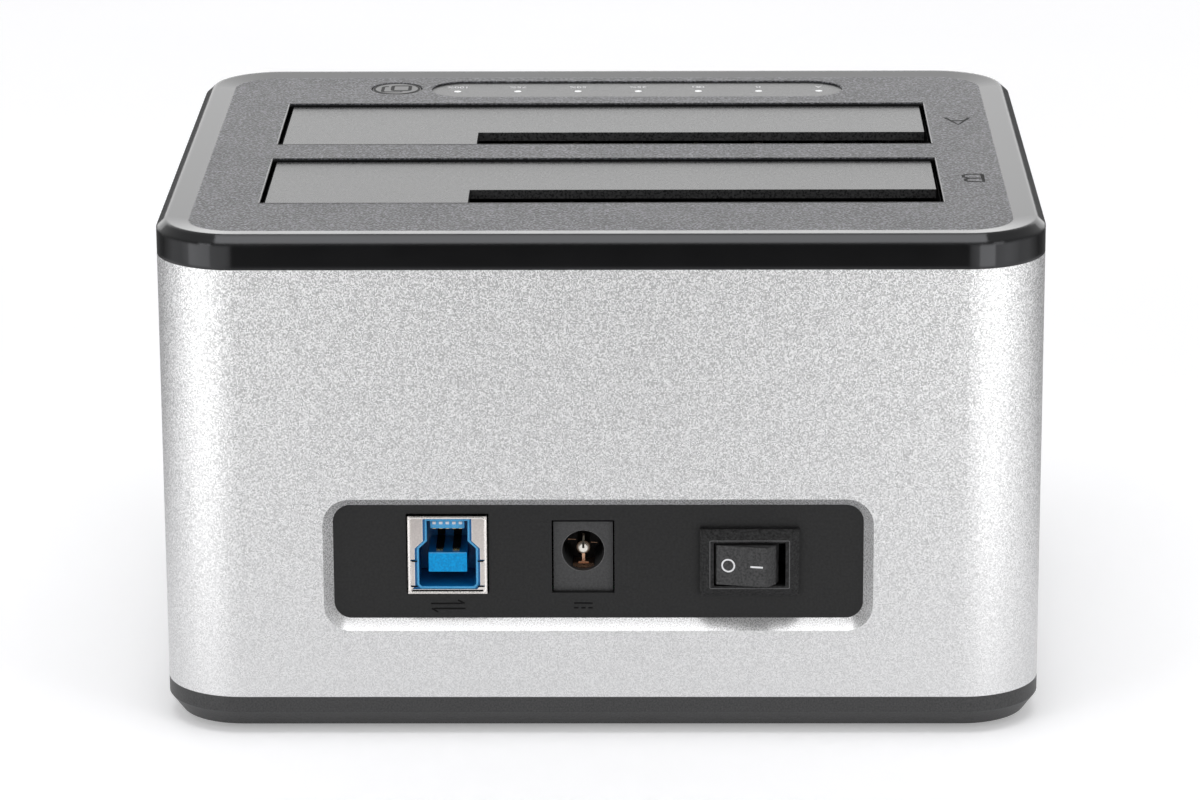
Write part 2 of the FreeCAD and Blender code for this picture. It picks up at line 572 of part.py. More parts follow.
def light_spots():
    return [f"{LIGHT_FIRST} + {k} * light_pitch" for k in range(int(value("light_count")))]


# ---------------------------------------------------------------- dust doors

def make_door(bay):
    """L-shaped flap: the notch lets the thin drive pass while the door stays shut."""
    near = f"({NEAR[bay]} + door_near_gap)"
    far = f"({FAR[bay]} - door_far_gap)"
    left, right = "(door_side_gap - slot_width / 2)", "(slot_width / 2 - door_side_gap)"
    notch = f"({NEAR[bay]} + notch_depth)"
    panel = prism(f"DoorPanel{bay}", "XY_Plane", [
        (left, near), ("notch_left", near), ("notch_left", notch), (right, notch),
        (right, far), (left, far)], DOOR_UNDER, "door_thickness")
    pieces = [panel]
    axis = HINGE_Y[bay]
    drop = "hinge_below"
    for index, (middle, _) in enumerate(hinge_edges(bay)):
        arm = prism(f"DoorArm{bay}_{index}", "YZ_Plane", [
            (f"{axis} - arm_reach", f"{HINGE_Z} + {drop} + 0.7"),
            (f"{far}", f"{HINGE_Z} + {drop} + 0.7"),
            (f"{far}", f"{HINGE_Z} + {drop} - 0.7"),
            (axis, f"{HINGE_Z} + knuckle_radius - 0.1"),
            (axis, f"{HINGE_Z} - knuckle_radius + 0.1"),
            (f"{axis} - arm_reach", f"{HINGE_Z} + {drop} - 0.4")],
            f"{middle} - knuckle_width / 2", "knuckle_width")
        pieces += [arm, rod(f"Knuckle{bay}_{index}", (f"{middle} - knuckle_width / 2", axis,
                            HINGE_Z), "knuckle_radius", "knuckle_width", "X")]
    for index, x in enumerate(("tab_left", "tab_right")):
        top = f"({PLATE_UNDER} - tab_gap)"
        pieces += [
            middle_box(f"StopTab{bay}_{index}", (x, f"{near} + 0.3", f"{top} - tab_thickness"),
                       ("tab_width", f"2 * (door_near_gap + tab_reach + 0.3)",
                        "tab_thickness")),
            box(f"StopRiser{bay}_{index}", (f"{x} - tab_width / 2", near,
                f"{top} - tab_thickness"), ("tab_width", "1.4",
                                            f"{DOOR_UNDER} - {top} + tab_thickness + 0.1"))]
    bore = rod(f"KnuckleBore{bay}", ("0 - slot_width / 2", axis, HINGE_Z),
               "pin_radius + knuckle_fit", "slot_width", "X")
    subpart(f"door_{bay}", cut(f"Door{bay}", fuse(f"DoorSolid{bay}", pieces), [bore]))


def make_hinge_pin(bay):
    half = "(knuckle_x + knuckle_width / 2 + hinge_play + lug_thickness)"
    pin = rod(f"HingePin{bay}", (f"0 - {half}", HINGE_Y[bay], HINGE_Z), "pin_radius",
              f"2 * {half}", "X")
    subpart(f"hinge_pin_{bay}", pin)


def spring_coil(radius, wire, pitch, turns):
    """Square spring wire wound about +Z from the origin, each turn in short runs."""
    rings = []
    for step in range(round(turns * RUNS_PER_TURN) + 1):
        turned = FreeCAD.Rotation(Z, 360 * step / RUNS_PER_TURN)
        rise = Z * (pitch * step / RUNS_PER_TURN)
        corners = [turned.multVec(FreeCAD.Vector(radius + a * wire / 2, 0, b * wire / 2)) + rise
                   for a, b in ((-1, -1), (1, -1), (1, 1), (-1, 1), (-1, -1))]
        rings.append(Part.makePolygon(corners))
    return Part.makeLoft(rings, True, True)


def make_door_spring(bay):
    """Torsion spring on the hinge pin, one leg under the cover and one under the door."""
    wire, play = value("door_spring_wire"), value("door_spring_play")
    pitch, turns = value("door_spring_pitch"), value("door_spring_turns")
    leg = value("door_spring_leg")
    radius = value("pin_radius") + play + wire / 2
    coil = spring_coil(radius, wire, pitch, turns)
    to_door = Part.makeBox(wire, leg, wire, FreeCAD.Vector(radius - wire / 2, 0, -wire / 2))
    to_cover = Part.makeBox(wire, leg, wire, FreeCAD.Vector(radius - wire / 2, -leg,
                                                            pitch * turns - wire / 2))
    spring = doc.addObject("Part::Feature", f"DoorSpring{bay}")
    spring.Shape = coil.fuse([to_door, to_cover])
    spring.Placement = FreeCAD.Placement(
        FreeCAD.Vector(-pitch * turns / 2, value(HINGE_Y[bay]), value(HINGE_Z)),
        FreeCAD.Rotation(FreeCAD.Vector(0, 0, 1), FreeCAD.Vector(0, -1, 0),
                         FreeCAD.Vector(1, 0, 0), "ZXY"))
    subpart(f"door_spring_{bay}", spring)


# ---------------------------------------------------------------- bay frame

def make_bay_frame():
    """Two drive wells on one floor, with webs between them and screw ears."""
    half = "(slot_width / 2)"
    low = f"({FLOOR_TOP} - well_floor)"
    solids, holes = [], []
    for bay in ("1", "2"):
        near, far = NEAR[bay], FAR[bay]
        solids.append(box(f"WellBlock{bay}", (f"0 - {half} - well_wall", f"{near} - well_wall",
                                              low),
                          (f"slot_width + 2 * well_wall", "slot_depth + 2 * well_wall",
                           f"{WELL_TOP} - {low}")))
        holes += [
            box(f"WellRoom{bay}", (f"0 - {half}", near, FLOOR_TOP),
                ("slot_width", "slot_depth", "body_width")),
            box(f"FarWallTop{bay}", (f"0 - {half} - well_wall - 1", far,
                                     f"{WELL_TOP} - far_wall_drop"),
                ("slot_width + 2 * well_wall + 2", "well_wall + 1", "body_width")),
            middle_box(f"ReceptacleWindow{bay}", ("drive_connector_x", CONNECTOR_Y[bay],
                                                  f"{low} - 1"),
                       ("receptacle_length + 2 * receptacle_play",
                        "receptacle_width + 2 * receptacle_play", "well_floor + 2"))]
        for index, x in enumerate(("tab_left", "tab_right")):
            holes.append(middle_box(f"TabNotch{bay}_{index}", (x, f"{near} - well_wall / 2",
                                    f"{WELL_TOP} - tab_path_drop"),
                                    ("tab_width + 2 * tab_side_play", "well_wall + 1",
                                     "body_width")))
            tab_end = f"({HINGE_Z} - ({HINGE_Y[bay]} - {near}) - tab_reach - tab_side_play)"
            holes.append(middle_box(f"TabWindow{bay}_{index}", (x, f"{far} + well_wall / 2",
                                                                tab_end),
                                    ("tab_width + 2 * tab_side_play", "well_wall + 1",
                                     "tab_reach + door_near_gap + 1.4 + 2 * tab_side_play")))
    span = (f"{FAR['2']} + well_wall", f"{NEAR['1']} - well_wall")
    for index in range(3):
        x = f"{index - 1} * web_spacing"
        solids.append(box(f"Web{index}", (f"{x} - web_thickness / 2", f"{span[0]} - 0.5", low),
                          ("web_thickness", f"{span[1]} - ({span[0]}) + 1", "web_rise")))
    for index, (x, y) in enumerate(frame_screw_spots()):
        solids.append(middle_box(f"Ear{index}", (x, y, f"{EAR_TOP} - ear_thickness"),
                                 ("ear_width", f"{span[1]} - ({span[0]}) + 1",
                                  "ear_thickness")))
        holes.append(rod(f"EarHole{index}", (x, y, f"{EAR_TOP} - ear_thickness - 1"),
                         "small_screw_radius + screw_hole_play", "ear_thickness + 2"))
    blank = fuse("BayFrameSolid", solids)
    subpart("bay_frame", cut("BayFrame", blank, holes))


def make_frame_screws():
    seat = f"({EAR_TOP} - ear_thickness)"
    screws = [screw(f"FrameScrew{k}", spot, seat, "small_screw_radius",
                    "ear_thickness + small_screw_grip", "small_head_radius",
                    "small_head_height")
              for k, spot in enumerate(frame_screw_spots())]
    subpart("bay_frame_screws", group("FrameScrews", screws))


# ---------------------------------------------------------------- main board

def make_main_board():
    board = box("MainBoardBlank", (f"0 - {BOARD_SIDE}", f"{PANEL_BACK} + board_front_gap",
                                   BOARD_UNDER),
                (f"2 * {BOARD_SIDE}", f"{BOARD_BACK} - ({PANEL_BACK}) - board_front_gap",
                 "board_thickness"))
    holes = [rod(f"BoardHole{k}", (x, y, f"{BOARD_UNDER} - 1"),
                 "small_screw_radius + screw_hole_play", "board_thickness + 2")
             for k, (x, y) in enumerate(board_screw_spots())]
    subpart("main_board", cut("MainBoard", board, holes))
    screws = [screw(f"BoardScrew{k}", spot, "board_top", "small_screw_radius",
                    "small_screw_length", "small_head_radius", "small_head_height", down=True)
              for k, spot in enumerate(board_screw_spots())]
    subpart("board_screws", group("BoardScrews", screws))


def make_receptacle(bay):
    """Upright drive receptacle: a signal slot and a power slot, each with its key."""
    x, y = "drive_connector_x", CONNECTOR_Y[bay]
    total = "(signal_slot + slot_gap + power_slot)"
    left = f"({x} - {total} / 2)"
    low = f"({RECEPTACLE_TOP} - mating_depth)"
    body = fuse(f"ReceptacleBlank{bay}", [
        middle_box(f"ReceptacleBody{bay}", (x, y, "board_top"),
                   ("receptacle_length", "receptacle_width - 1", "receptacle_height")),
        middle_box(f"ReceptacleFoot{bay}", (x, y, "board_top"),
                   ("receptacle_length", "receptacle_width", "receptacle_foot"))])
    slots = [
        box(f"SignalSlot{bay}", (left, f"{y} - tongue_slot / 2", low),
            ("signal_slot", "tongue_slot", "mating_depth + 1")),
        box(f"PowerSlot{bay}", (f"{left} + signal_slot + slot_gap", f"{y} - tongue_slot / 2",
                                low), ("power_slot", "tongue_slot", "mating_depth + 1")),
        box(f"SignalKey{bay}", (f"{left} + signal_slot - key_length",
                                f"{y} - tongue_slot / 2 - tongue_key + 0.4", low),
            ("key_length", "tongue_key", "mating_depth + 1")),
        box(f"PowerKey{bay}", (f"{left} + signal_slot + slot_gap",
                               f"{y} - tongue_slot / 2 - tongue_key + 0.4", low),
            ("key_length", "tongue_key", "mating_depth + 1"))]
    subpart(f"drive_receptacle_{bay}", cut(f"Receptacle{bay}", body, slots))
    contacts = []
    middles = [(f"{left} + signal_slot / 2", 7),
               (f"{left} + signal_slot + slot_gap + power_slot / 2", 15)]
    for middle, count in middles:
        for k in range(count):
            contacts.append(middle_box(
                f"Contact{bay}_{count}_{k}",
                (f"{middle} + ({k} - {(count - 1) / 2}) * contact_pitch",
                 f"{y} + tongue_slot / 2 - contact_thickness / 2", low),
                ("contact_width", "contact_thickness", "mating_depth - contact_drop")))
    subpart(f"drive_contacts_{bay}", group(f"Contacts{bay}", contacts))


def make_board_parts():
    chips = [middle_box(f"Chip{k}", ("chip_x", f"{NEAR[bay]} + slot_depth * 0.7", "board_top"),
                        ("chip_size", "chip_size", "chip_height"))
             for k, bay in enumerate(("1", "2"))]
    subpart("bridge_chips", group("Chips", chips))
    parts_row = f"({BOARD_BACK} - parts_inset)"
    cans = [rod(f"Can{k}", (f"capacitor_x + {k} * capacitor_spacing", parts_row,
                            "board_top"), "capacitor_radius", "capacitor_height")
            for k in range(2)]
    subpart("capacitors", group("Capacitors", cans))
    coil = middle_box("Choke", ("coil_x", parts_row, "board_top"),
                      ("coil_size", "coil_size", "coil_height"))
    subpart("power_choke", coil)


# ---------------------------------------------------------------- sockets

def keyhole(extra):
    """Mouth of the data socket about its middle line, grown outward by extra."""
    low, high = f"(usb_lower_width / 2 + {extra})", f"(usb_upper_width / 2 + {extra})"
    sill = f"(board_top + usb_sill - {extra} / 2)"
    step = "(board_top + usb_sill + usb_lower_height)"
    neck = f"({step} + usb_slope)"
    top = f"({neck} + usb_upper_height + {extra} / 2)"
    right = [(f"{low} - usb_chamfer", sill), (low, f"{sill} + usb_chamfer"), (low, step),
             (high, neck), (high, top)]
    return ([(f"usb_x + {u}", v) for u, v in right]
            + [(f"usb_x - {u}", v) for u, v in reversed(right)])


USB_FRONT = f"({PANEL_FRONT} - usb_proud)"


def make_usb_socket():
    """Upstream socket: folded steel shell, blue insulator with two tongues, contacts."""
    shell = middle_box("UsbShellBlock", ("usb_x", f"{USB_FRONT} + usb_length / 2",
                                         "board_top"), ("usb_width", "usb_length",
                                                        "usb_height"))
    inside = box("UsbShellInside", ("usb_x - usb_width / 2 + usb_sheet",
                                    f"{USB_FRONT} + usb_sheet", "board_top + usb_sheet"),
                 ("usb_width - 2 * usb_sheet", "usb_length", "usb_height - 2 * usb_sheet"))
    mouth = prism("UsbMouth", "XZ_Plane", keyhole("usb_mouth_margin"),
                  f"0 - ({USB_FRONT}) - 1", "2")
    slits = []
    for k, rise in enumerate(("usb_tab_high", "usb_tab_mid")):
        slits.append(middle_box(f"UsbSlit{k}", ("usb_x", f"{USB_FRONT} + usb_sheet / 2",
                                                f"board_top + {rise}"),
                                ("usb_width - 0.8", "usb_sheet * 1.2", "usb_slit")))
    subpart("usb_shell", cut("UsbShell", shell, [inside, mouth] + slits))
    block = box("UsbBlock", ("usb_x - usb_width / 2 + usb_sheet",
                             f"{USB_FRONT} + usb_sheet + 0.05", "board_top + usb_sheet"),
                ("usb_width - 2 * usb_sheet", "usb_length - usb_sheet - 0.05",
                 "usb_height - 2 * usb_sheet"))
    cavity = prism("UsbCavity", "XZ_Plane", keyhole("0"),
                   f"0 - ({USB_FRONT}) - usb_sheet - usb_depth", "usb_depth + 2")
    front = f"({USB_FRONT} + usb_tongue_back)"
    reach = "usb_depth + usb_sheet - usb_tongue_back + 0.5"
    tongue = box("UsbTongue", ("usb_x - usb_tongue_width / 2", front,
                               "board_top + usb_tongue_low"),
                 ("usb_tongue_width", reach, "usb_tongue_height"))
    top_low = "(board_top + usb_height - usb_top_tongue_drop - usb_top_tongue_height)"
    top_tongue = box("UsbTopTongue", ("usb_x - usb_top_tongue_width / 2", front, top_low),
                     ("usb_top_tongue_width", reach, "usb_top_tongue_height"))
    subpart("usb_insulator", fuse("UsbInsulator", [cut("UsbBody", block, [cavity]), tongue,
                                                   top_tongue]))
    contacts = [box(f"UsbFine{k}", (f"usb_x + {k - 2} * usb_contact_pitch"
                                    " - usb_contact_width / 2", f"{front} + 0.1",
                                    f"{top_low} - 0.12"),
                    ("usb_contact_width", "usb_depth - 2", "0.12")) for k in range(5)]
    for level, height in (("low", "board_top + usb_tongue_low - 0.2"),
                          ("high", "board_top + usb_tongue_low + usb_tongue_height")):
        for side in ("(0 - 1)", "1"):
            contacts.append(middle_box(
                f"UsbPower_{level}{len(contacts)}",
                (f"usb_x + {side} * usb_pin_pitch / 2", f"{front} + usb_depth / 2 - 0.5",
                 height), ("usb_pin_width", "usb_depth - 2.5", "0.2")))
    subpart("usb_contacts", group("UsbContacts", contacts))


def make_dc_jack():
    """Low-voltage inlet: moulded body, split centre pin and a sprung side contact."""
    face = f"({PANEL_FRONT} + dc_recess)"
    low = "board_top"
    front = middle_box("DcFront", ("dc_x", f"{face} + dc_shoulder / 2", low),
                       ("dc_width", "dc_shoulder", "dc_height"))
    barrel = rod("DcBarrel", ("dc_x", face, DC_Z), "dc_width / 2", "dc_length", "Y")
    block = middle_box("DcBlock", ("dc_x", f"{face} + dc_length / 2", low),
                       ("dc_width", "dc_length", "dc_hole_height"))
    bore = rod("DcBore", ("dc_x", f"{face} - 1", DC_Z), "dc_hole_radius",
               "dc_hole_depth + 1", "Y")
    recess = box("DcContactRoom", ("dc_x - dc_contact_width / 2 - 0.1", f"{face} + 1.2",
                                   f"{DC_Z} - dc_hole_radius - 1.6"),
                 ("dc_contact_width + 0.2", "dc_hole_depth - 1.2", "dc_hole_radius"))
    subpart("dc_jack_housing", cut("DcHousing", fuse("DcSolid", [front, barrel, block]),
                                   [bore, recess]))
    pin = fuse("DcPinBlank", [
        rod("DcPinShank", ("dc_x", f"{face} + dc_pin_recess + 0.5", DC_Z), "dc_pin_radius",
            "dc_hole_depth - dc_pin_recess - 0.5", "Y"),
        rod("DcPinTip", ("dc_x", f"{face} + dc_pin_recess", DC_Z), "dc_pin_radius - 0.3",
            "1", "Y")])
    slit = middle_box("DcPinSlit", ("dc_x", f"{face} + dc_pin_recess + 2", DC_Z),
                      ("0.35", "4.2", "dc_pin_radius * 2"))
    subpart("dc_centre_pin", cut("DcPin", pin, [slit]))
    back, lip = f"({face} + dc_hole_depth)", f"({face} + 2.2)"
    under = f"({DC_Z} - dc_hole_radius - 1.5)"
    contact = prism("DcContact", "YZ_Plane", [
        (back, under), (lip, f"{under} + 1.6"), (f"{lip} - 0.6", f"{under} + 1.2"),
        (f"{lip} - 0.6", f"{under} + 1.2 + dc_contact_sheet"),
        (lip, f"{under} + 1.6 + dc_contact_sheet"), (back, f"{under} + dc_contact_sheet")],
        "dc_x - dc_contact_width / 2", "dc_contact_width")
    subpart("dc_spring_contact", contact)


def make_io_panel():
    """Black panel behind the sleeve's window, with a cut-out for each socket."""
    low = BASE_INSIDE
    plate = box("PanelPlate", ("window_middle - window_width / 2 - panel_margin", PANEL_FRONT,
                               low),
                ("window_width + 2 * panel_margin", "panel_thickness",
                 f"{WINDOW_Z} + window_height / 2 + panel_margin - {low}"))

    def port(name, x, z_low, width, height):
        return box(name, (f"{x} - ({width}) / 2", f"{PANEL_FRONT} - 1", z_low),
                   (width, "panel_thickness + 2", height))

    holes = [
        port("UsbPort", "usb_x", "board_top - panel_play", "usb_width + 2 * port_play",
             "usb_height + port_play + panel_play"),
        port("DcPort", "dc_x", "board_top - panel_play", "dc_width + 2 * port_play",
             "dc_height + 0.5 + panel_play"),
        port("SwitchPort", "switch_x", f"{SWITCH_Z} - switch_body_height / 2 - panel_play",
             "switch_body_width + 2 * panel_play", "switch_body_height + 2 * panel_play")]
    subpart("io_panel", cut("IoPanel", plate, holes))


# ---------------------------------------------------------------- rocker switch

def make_switch():
    """Snap-in rocker switch: housing, rocker, sprung plunger, tilting blade, terminals."""
    bezel = new_body("Bezel")
    sections = []
    for index, (depth, inset) in enumerate((("0", "0"), ("bezel_thickness - bezel_slope", "0"),
                                            ("bezel_thickness", "bezel_bevel"))):
        sketch = sketch_on(bezel, "XZ_Plane", f"0 - ({PANEL_FRONT}) + {depth}",
                           f"bezel_section{index}")
        width, height = f"bezel_width - 2 * {inset}", f"bezel_height - 2 * {inset}"
        polygon(sketch, [(f"switch_x + {a} * ({width}) / 2", f"{SWITCH_Z} + {b} * ({height}) / 2")
                         for a, b in (("(0 - 1)", "(0 - 1)"), ("1", "(0 - 1)"), ("1", "1"),
                                      ("(0 - 1)", "1"))])
        sections.append(sketch)
    for index in range(2):
        loft = bezel.newObject("PartDesign::AdditiveLoft", f"bezel_loft{index}")
        loft.Profile, loft.Sections, loft.Ruled = sections[index], [sections[index + 1]], True

    def block(name, y_low, width, depth, height):
        return box(name, (f"switch_x - ({width}) / 2", y_low, f"{SWITCH_Z} - ({height}) / 2"),
                   (width, depth, height))

    body = block("SwitchBody", f"{PANEL_FRONT} - 0.2", "switch_body_width",
                 "switch_body_depth + 0.2", "switch_body_height")
    lip_back = f"({PANEL_FRONT} - bezel_thickness + bezel_lip)"
    room = block("SwitchRoom", lip_back, "switch_body_width - 2 * switch_wall",
                 f"{PANEL_FRONT} + switch_body_depth - switch_wall - {lip_back}",
                 "switch_body_height - 2 * switch_wall")
    mouth = block("SwitchMouth", f"{FRONT} - 1", "rocker_opening", "4",
                  "rocker_opening_height")
    pivots = rod("TrunnionHoles", ("switch_x", PIVOT_Y, f"{SWITCH_Z} - switch_body_height"),
                 "trunnion_radius + trunnion_fit", "2 * switch_body_height")
    slots = [block("CommonSlot", f"{PANEL_FRONT} + switch_body_depth - 2",
                   "terminal_sheet + 0.04", "4", "terminal_width + 0.04"),
             box("OutputSlot", ("switch_x - terminal_side - terminal_sheet / 2 - 0.02",
                                f"{PANEL_FRONT} + switch_body_depth - 2",
                                f"{SWITCH_Z} - terminal_width / 2 - 0.02"),
                 ("terminal_sheet + 0.04", "4", "terminal_width + 0.04"))]
    subpart("switch_housing", cut("SwitchHousing", fuse("SwitchSolid", [bezel, body]),
                                  [room, mouth, pivots] + slots))
    make_rocker()
    make_blade_and_terminals()


def at_pivot(thing, depth, angle):
    """Stand a piece made about the origin at a place behind the pivot, turned about Z."""
    thing.Placement = FreeCAD.Placement(FreeCAD.Vector(), FreeCAD.Rotation(Z, 1))
    put(thing, "switch_x", f"{PIVOT_Y} + ({depth})", SWITCH_Z)
    thing.setExpression(".Placement.Rotation.Angle", formula(angle))
    return thing


def make_rocker():
    half = [("rocker_face_half", "rocker_face"), ("rocker_shoulder_half", "rocker_shoulder"),
            ("rocker_skirt_half", "rocker_skirt"), ("rocker_hub", "0 - rocker_hub_back")]
    outline = ([(u, f"0 - ({v})") for u, v in half]
               + [(f"0 - {u}", f"0 - ({v})") for u, v in reversed(half)])
    tall = "(rocker_opening_height - 2 * rocker_gap)"
    key = prism("RockerKey", "XY_Plane", outline, f"0 - {tall} / 2", tall)
    reach = "(switch_body_height / 2 - trunnion_end_gap)"
    trunnions = rod("Trunnions", ("0", "0", f"0 - {reach}"), "trunnion_radius", f"2 * {reach}")
    bore = rod("PlungerBore", ("0", "0 - plunger_bore", "0"), "plunger_radius + plunger_fit",
               "plunger_bore + rocker_hub_back + 1", "Y")
    rocker = cut("Rocker", fuse("RockerSolid", [key, trunnions]), [bore])
    subpart("rocker", at_pivot(rocker, "0", "0 - rocker_tilt"))
    plunger = new_body("Plunger")
    tip, radius = "plunger_reach", "plunger_radius"
    sketch = polygon(sketch_on(plunger, "XY_Plane", "0", "plunger_profile"), [
        ("0", f"{tip} - plunger_length"), (radius, f"{tip} - plunger_length"),
        (radius, f"{tip} - {radius}"), (f"{radius} * 0.7", f"{tip} - {radius} * 0.3"),
        (f"{radius} * 0.3", tip), ("0", tip)])
    turn = feature(plunger, "Revolution", "plunger_turn", sketch)
    turn.ReferenceAxis = (sketch, ["V_Axis"])
    subpart("rocker_plunger", at_pivot(plunger, "0", "0 - rocker_tilt"))
    wire = value("rocker_spring_wire")
    length = value("plunger_bore - plunger_length + plunger_reach") - 2 * wire
    turns = value("rocker_spring_turns")
    radius = value("plunger_radius + plunger_fit - rocker_spring_play") - wire / 2
    spring = doc.addObject("Part::Feature", "RockerSpring")
    spring.Shape = spring_coil(radius, wire, length / turns, turns)
    seat = FreeCAD.Placement(FreeCAD.Vector(0, wire - value("plunger_bore"), 0), ALONG["Y"])
    pivot = FreeCAD.Placement(
        FreeCAD.Vector(value("switch_x"), value(PIVOT_Y), value(SWITCH_Z)),
        FreeCAD.Rotation(Z, -value("rocker_tilt")))
    spring.Placement = pivot.multiply(seat)
    subpart("rocker_spring", spring)


def make_blade_and_terminals():
    blade = middle_box("Blade", ("0", "0", "0 - blade_width / 2"),
                       ("2 * blade_half", "blade_thickness", "blade_width"))
    moving = group("BladeTurned", [blade])
    subpart("switch_blade", at_pivot(moving, "blade_depth", "blade_tilt"))
    rear = f"({PANEL_FRONT} + switch_body_depth + terminal_tail)"
    common_head = f"({PIVOT_Y} + blade_depth + blade_thickness / 2 + blade_gap)"
    output_head = (f"({PIVOT_Y} + blade_depth + blade_thickness / 2 + blade_gap"
                   " + (terminal_side + terminal_sheet) * tan(blade_tilt * 1deg))")
    strips = []
    for name, x, head in (("Common", "switch_x", common_head),
                          ("Output", "switch_x - terminal_side", output_head)):
        strips.append(box(f"{name}Terminal", (f"{x} - terminal_sheet / 2", head,
                                              f"{SWITCH_Z} - terminal_width / 2"),
                          ("terminal_sheet", f"{rear} - {head}", "terminal_width")))
    subpart("switch_terminals", group("Terminals", strips))
    wires = []
    for index, x in enumerate(("switch_x", "switch_x - terminal_side")):
        y = f"({rear} - 1)"
        wires.append(rod(f"SwitchWire{index}", (f"{x} + terminal_sheet / 2 + wire_radius", y,
                                                "board_top"),
                         "wire_radius", f"{SWITCH_Z} - board_top + 1"))
    subpart("switch_wires", group("SwitchWires", wires))


# ---------------------------------------------------------------- button and lights

def make_button():
    """Copy button: a flanged cap on a post that presses a tactile switch."""
    cap = new_body("Button")
    top = f"({TOP} + button_proud)"
    flange_top = f"({PLATE_UNDER} - flange_gap)"
    flange_low = f"({flange_top} - flange_thickness)"
    sketch = polygon(sketch_on(cap, "XZ_Plane", "0", "button_profile"), [
        ("0", f"{flange_low} - button_post"), ("button_post_radius",
                                               f"{flange_low} - button_post"),
        ("button_post_radius", flange_low), ("flange_radius", flange_low),
        ("flange_radius", flange_top), ("button_radius", flange_top),
        ("button_radius", f"{top} - button_crown"), ("button_radius - button_crown", top),
        ("0", top)])
    turn = feature(cap, "Revolution", "button_turn", sketch)
    turn.ReferenceAxis = (sketch, ["V_Axis"])
    subpart("copy_button", put(cap, "button_x", BUTTON_Y, "0"))
    tact_top = f"({LED_BOARD_TOP} + tact_height)"
    wire = value("button_spring_wire")
    radius = value("button_post_radius + button_spring_play") + wire / 2
    height = value(f"{flange_low} - {tact_top}") - 1.2 * wire
    coil = spring_coil(radius, wire, height / value("button_spring_turns"),
                      value("button_spring_turns"))
    spring = doc.addObject("Part::Feature", "ButtonSpring")
    spring.Shape = coil
    spring.Placement = FreeCAD.Placement(
        FreeCAD.Vector(value("button_x"), value(BUTTON_Y), value(tact_top) + 0.6 * wire),
        FreeCAD.Rotation())
    subpart("button_spring", spring)
    body = middle_box("TactBody", ("button_x", BUTTON_Y, LED_BOARD_TOP),
                      ("tact_size", "tact_size", "tact_height"))
    well = rod("TactWell", ("button_x", BUTTON_Y, f"{tact_top} - 2"),
               "tact_plunger + tact_hole_play", "3")
    subpart("button_switch", cut("TactSwitch", body, [well]))
    subpart("button_plunger", rod("TactPlunger", ("button_x", BUTTON_Y, f"{tact_top} - 1.5"),
                                  "tact_plunger", "tact_rise + 1.5"))


def make_lights():
    """Strip with light pipes beside the button, over lamps on their own small board."""
    strip = rounded_block("Strip", "strip_length - 2 * strip_play",
                          "strip_width - 2 * strip_play", "strip_width / 2 - strip_play - 0.01",
                          f"{TOP} - strip_recess - strip_thickness", "strip_thickness",
                          (STRIP_X, LIGHTS_Y))
    strip_top = f"({TOP} - strip_recess)"
    holes = [rod(f"StripHole{k}", (x, LIGHT_Y, f"{strip_top} - 2"),
                 "light_radius + light_hole_play", "3") for k, x in enumerate(light_spots())]
    subpart("lights_strip", cut("LightsStrip", strip, holes))
    lamp_top = f"({LED_BOARD_TOP} + led_height)"
    pipes = []
    for k, x in enumerate(light_spots()):
        pipes += [middle_box(f"GuideLeg{k}", (x, LIGHT_Y, f"{lamp_top} + guide_gap"),
                             ("2 * light_radius", "2 * light_radius",
                              f"{PLATE_UNDER} - {lamp_top} - guide_gap - 0.1")),
                  rod(f"GuideTip{k}", (x, LIGHT_Y, f"{PLATE_UNDER} - 0.1"), "light_radius",
                      f"{strip_top} - {PLATE_UNDER} + 0.1")]
    bar = box("GuideBar", (f"{LIGHT_FIRST} - guide_bar_end", f"{LIGHT_Y} - guide_bar_half",
                           f"{PLATE_UNDER} - guide_bar_height"),
              ("(light_count - 1) * light_pitch + 2 * guide_bar_end", "2 * guide_bar_half",
               "guide_bar_height"))
    subpart("light_guide", fuse("LightGuide", [bar] + pipes))
    lamps = [middle_box(f"Lamp{k}", (x, LIGHT_Y, LED_BOARD_TOP),
                        ("led_size", "led_size * 0.6", "led_height"))
             for k, x in enumerate(light_spots())]
    subpart("status_leds", group("Lamps", lamps))
    board = box("LedBoardBlank", (LED_BOARD_LEFT, f"{BUTTON_Y} - led_board_half",
                                  f"{LED_BOARD_TOP} - led_board_thickness"),
                (f"{LED_BOARD_RIGHT} - {LED_BOARD_LEFT}", "2 * led_board_half",
                 "led_board_thickness"))
    board_holes = [rod(f"LedBoardHole{k}", (x, y, f"{LED_BOARD_TOP} - 3"),
                       "small_screw_radius + screw_hole_play", "5")
                   for k, (x, y) in enumerate(led_screw_spots())]
    subpart("led_board", cut("LedBoard", board, board_holes))
    seat = f"({LED_BOARD_TOP} - led_board_thickness)"
    screws = [screw(f"LedScrew{k}", spot, seat, "small_screw_radius",
                    "led_board_thickness + small_screw_grip", "small_head_radius",
                    "small_head_height")
              for k, spot in enumerate(led_screw_spots())]
    subpart("led_board_screws", group("LedScrews", screws))


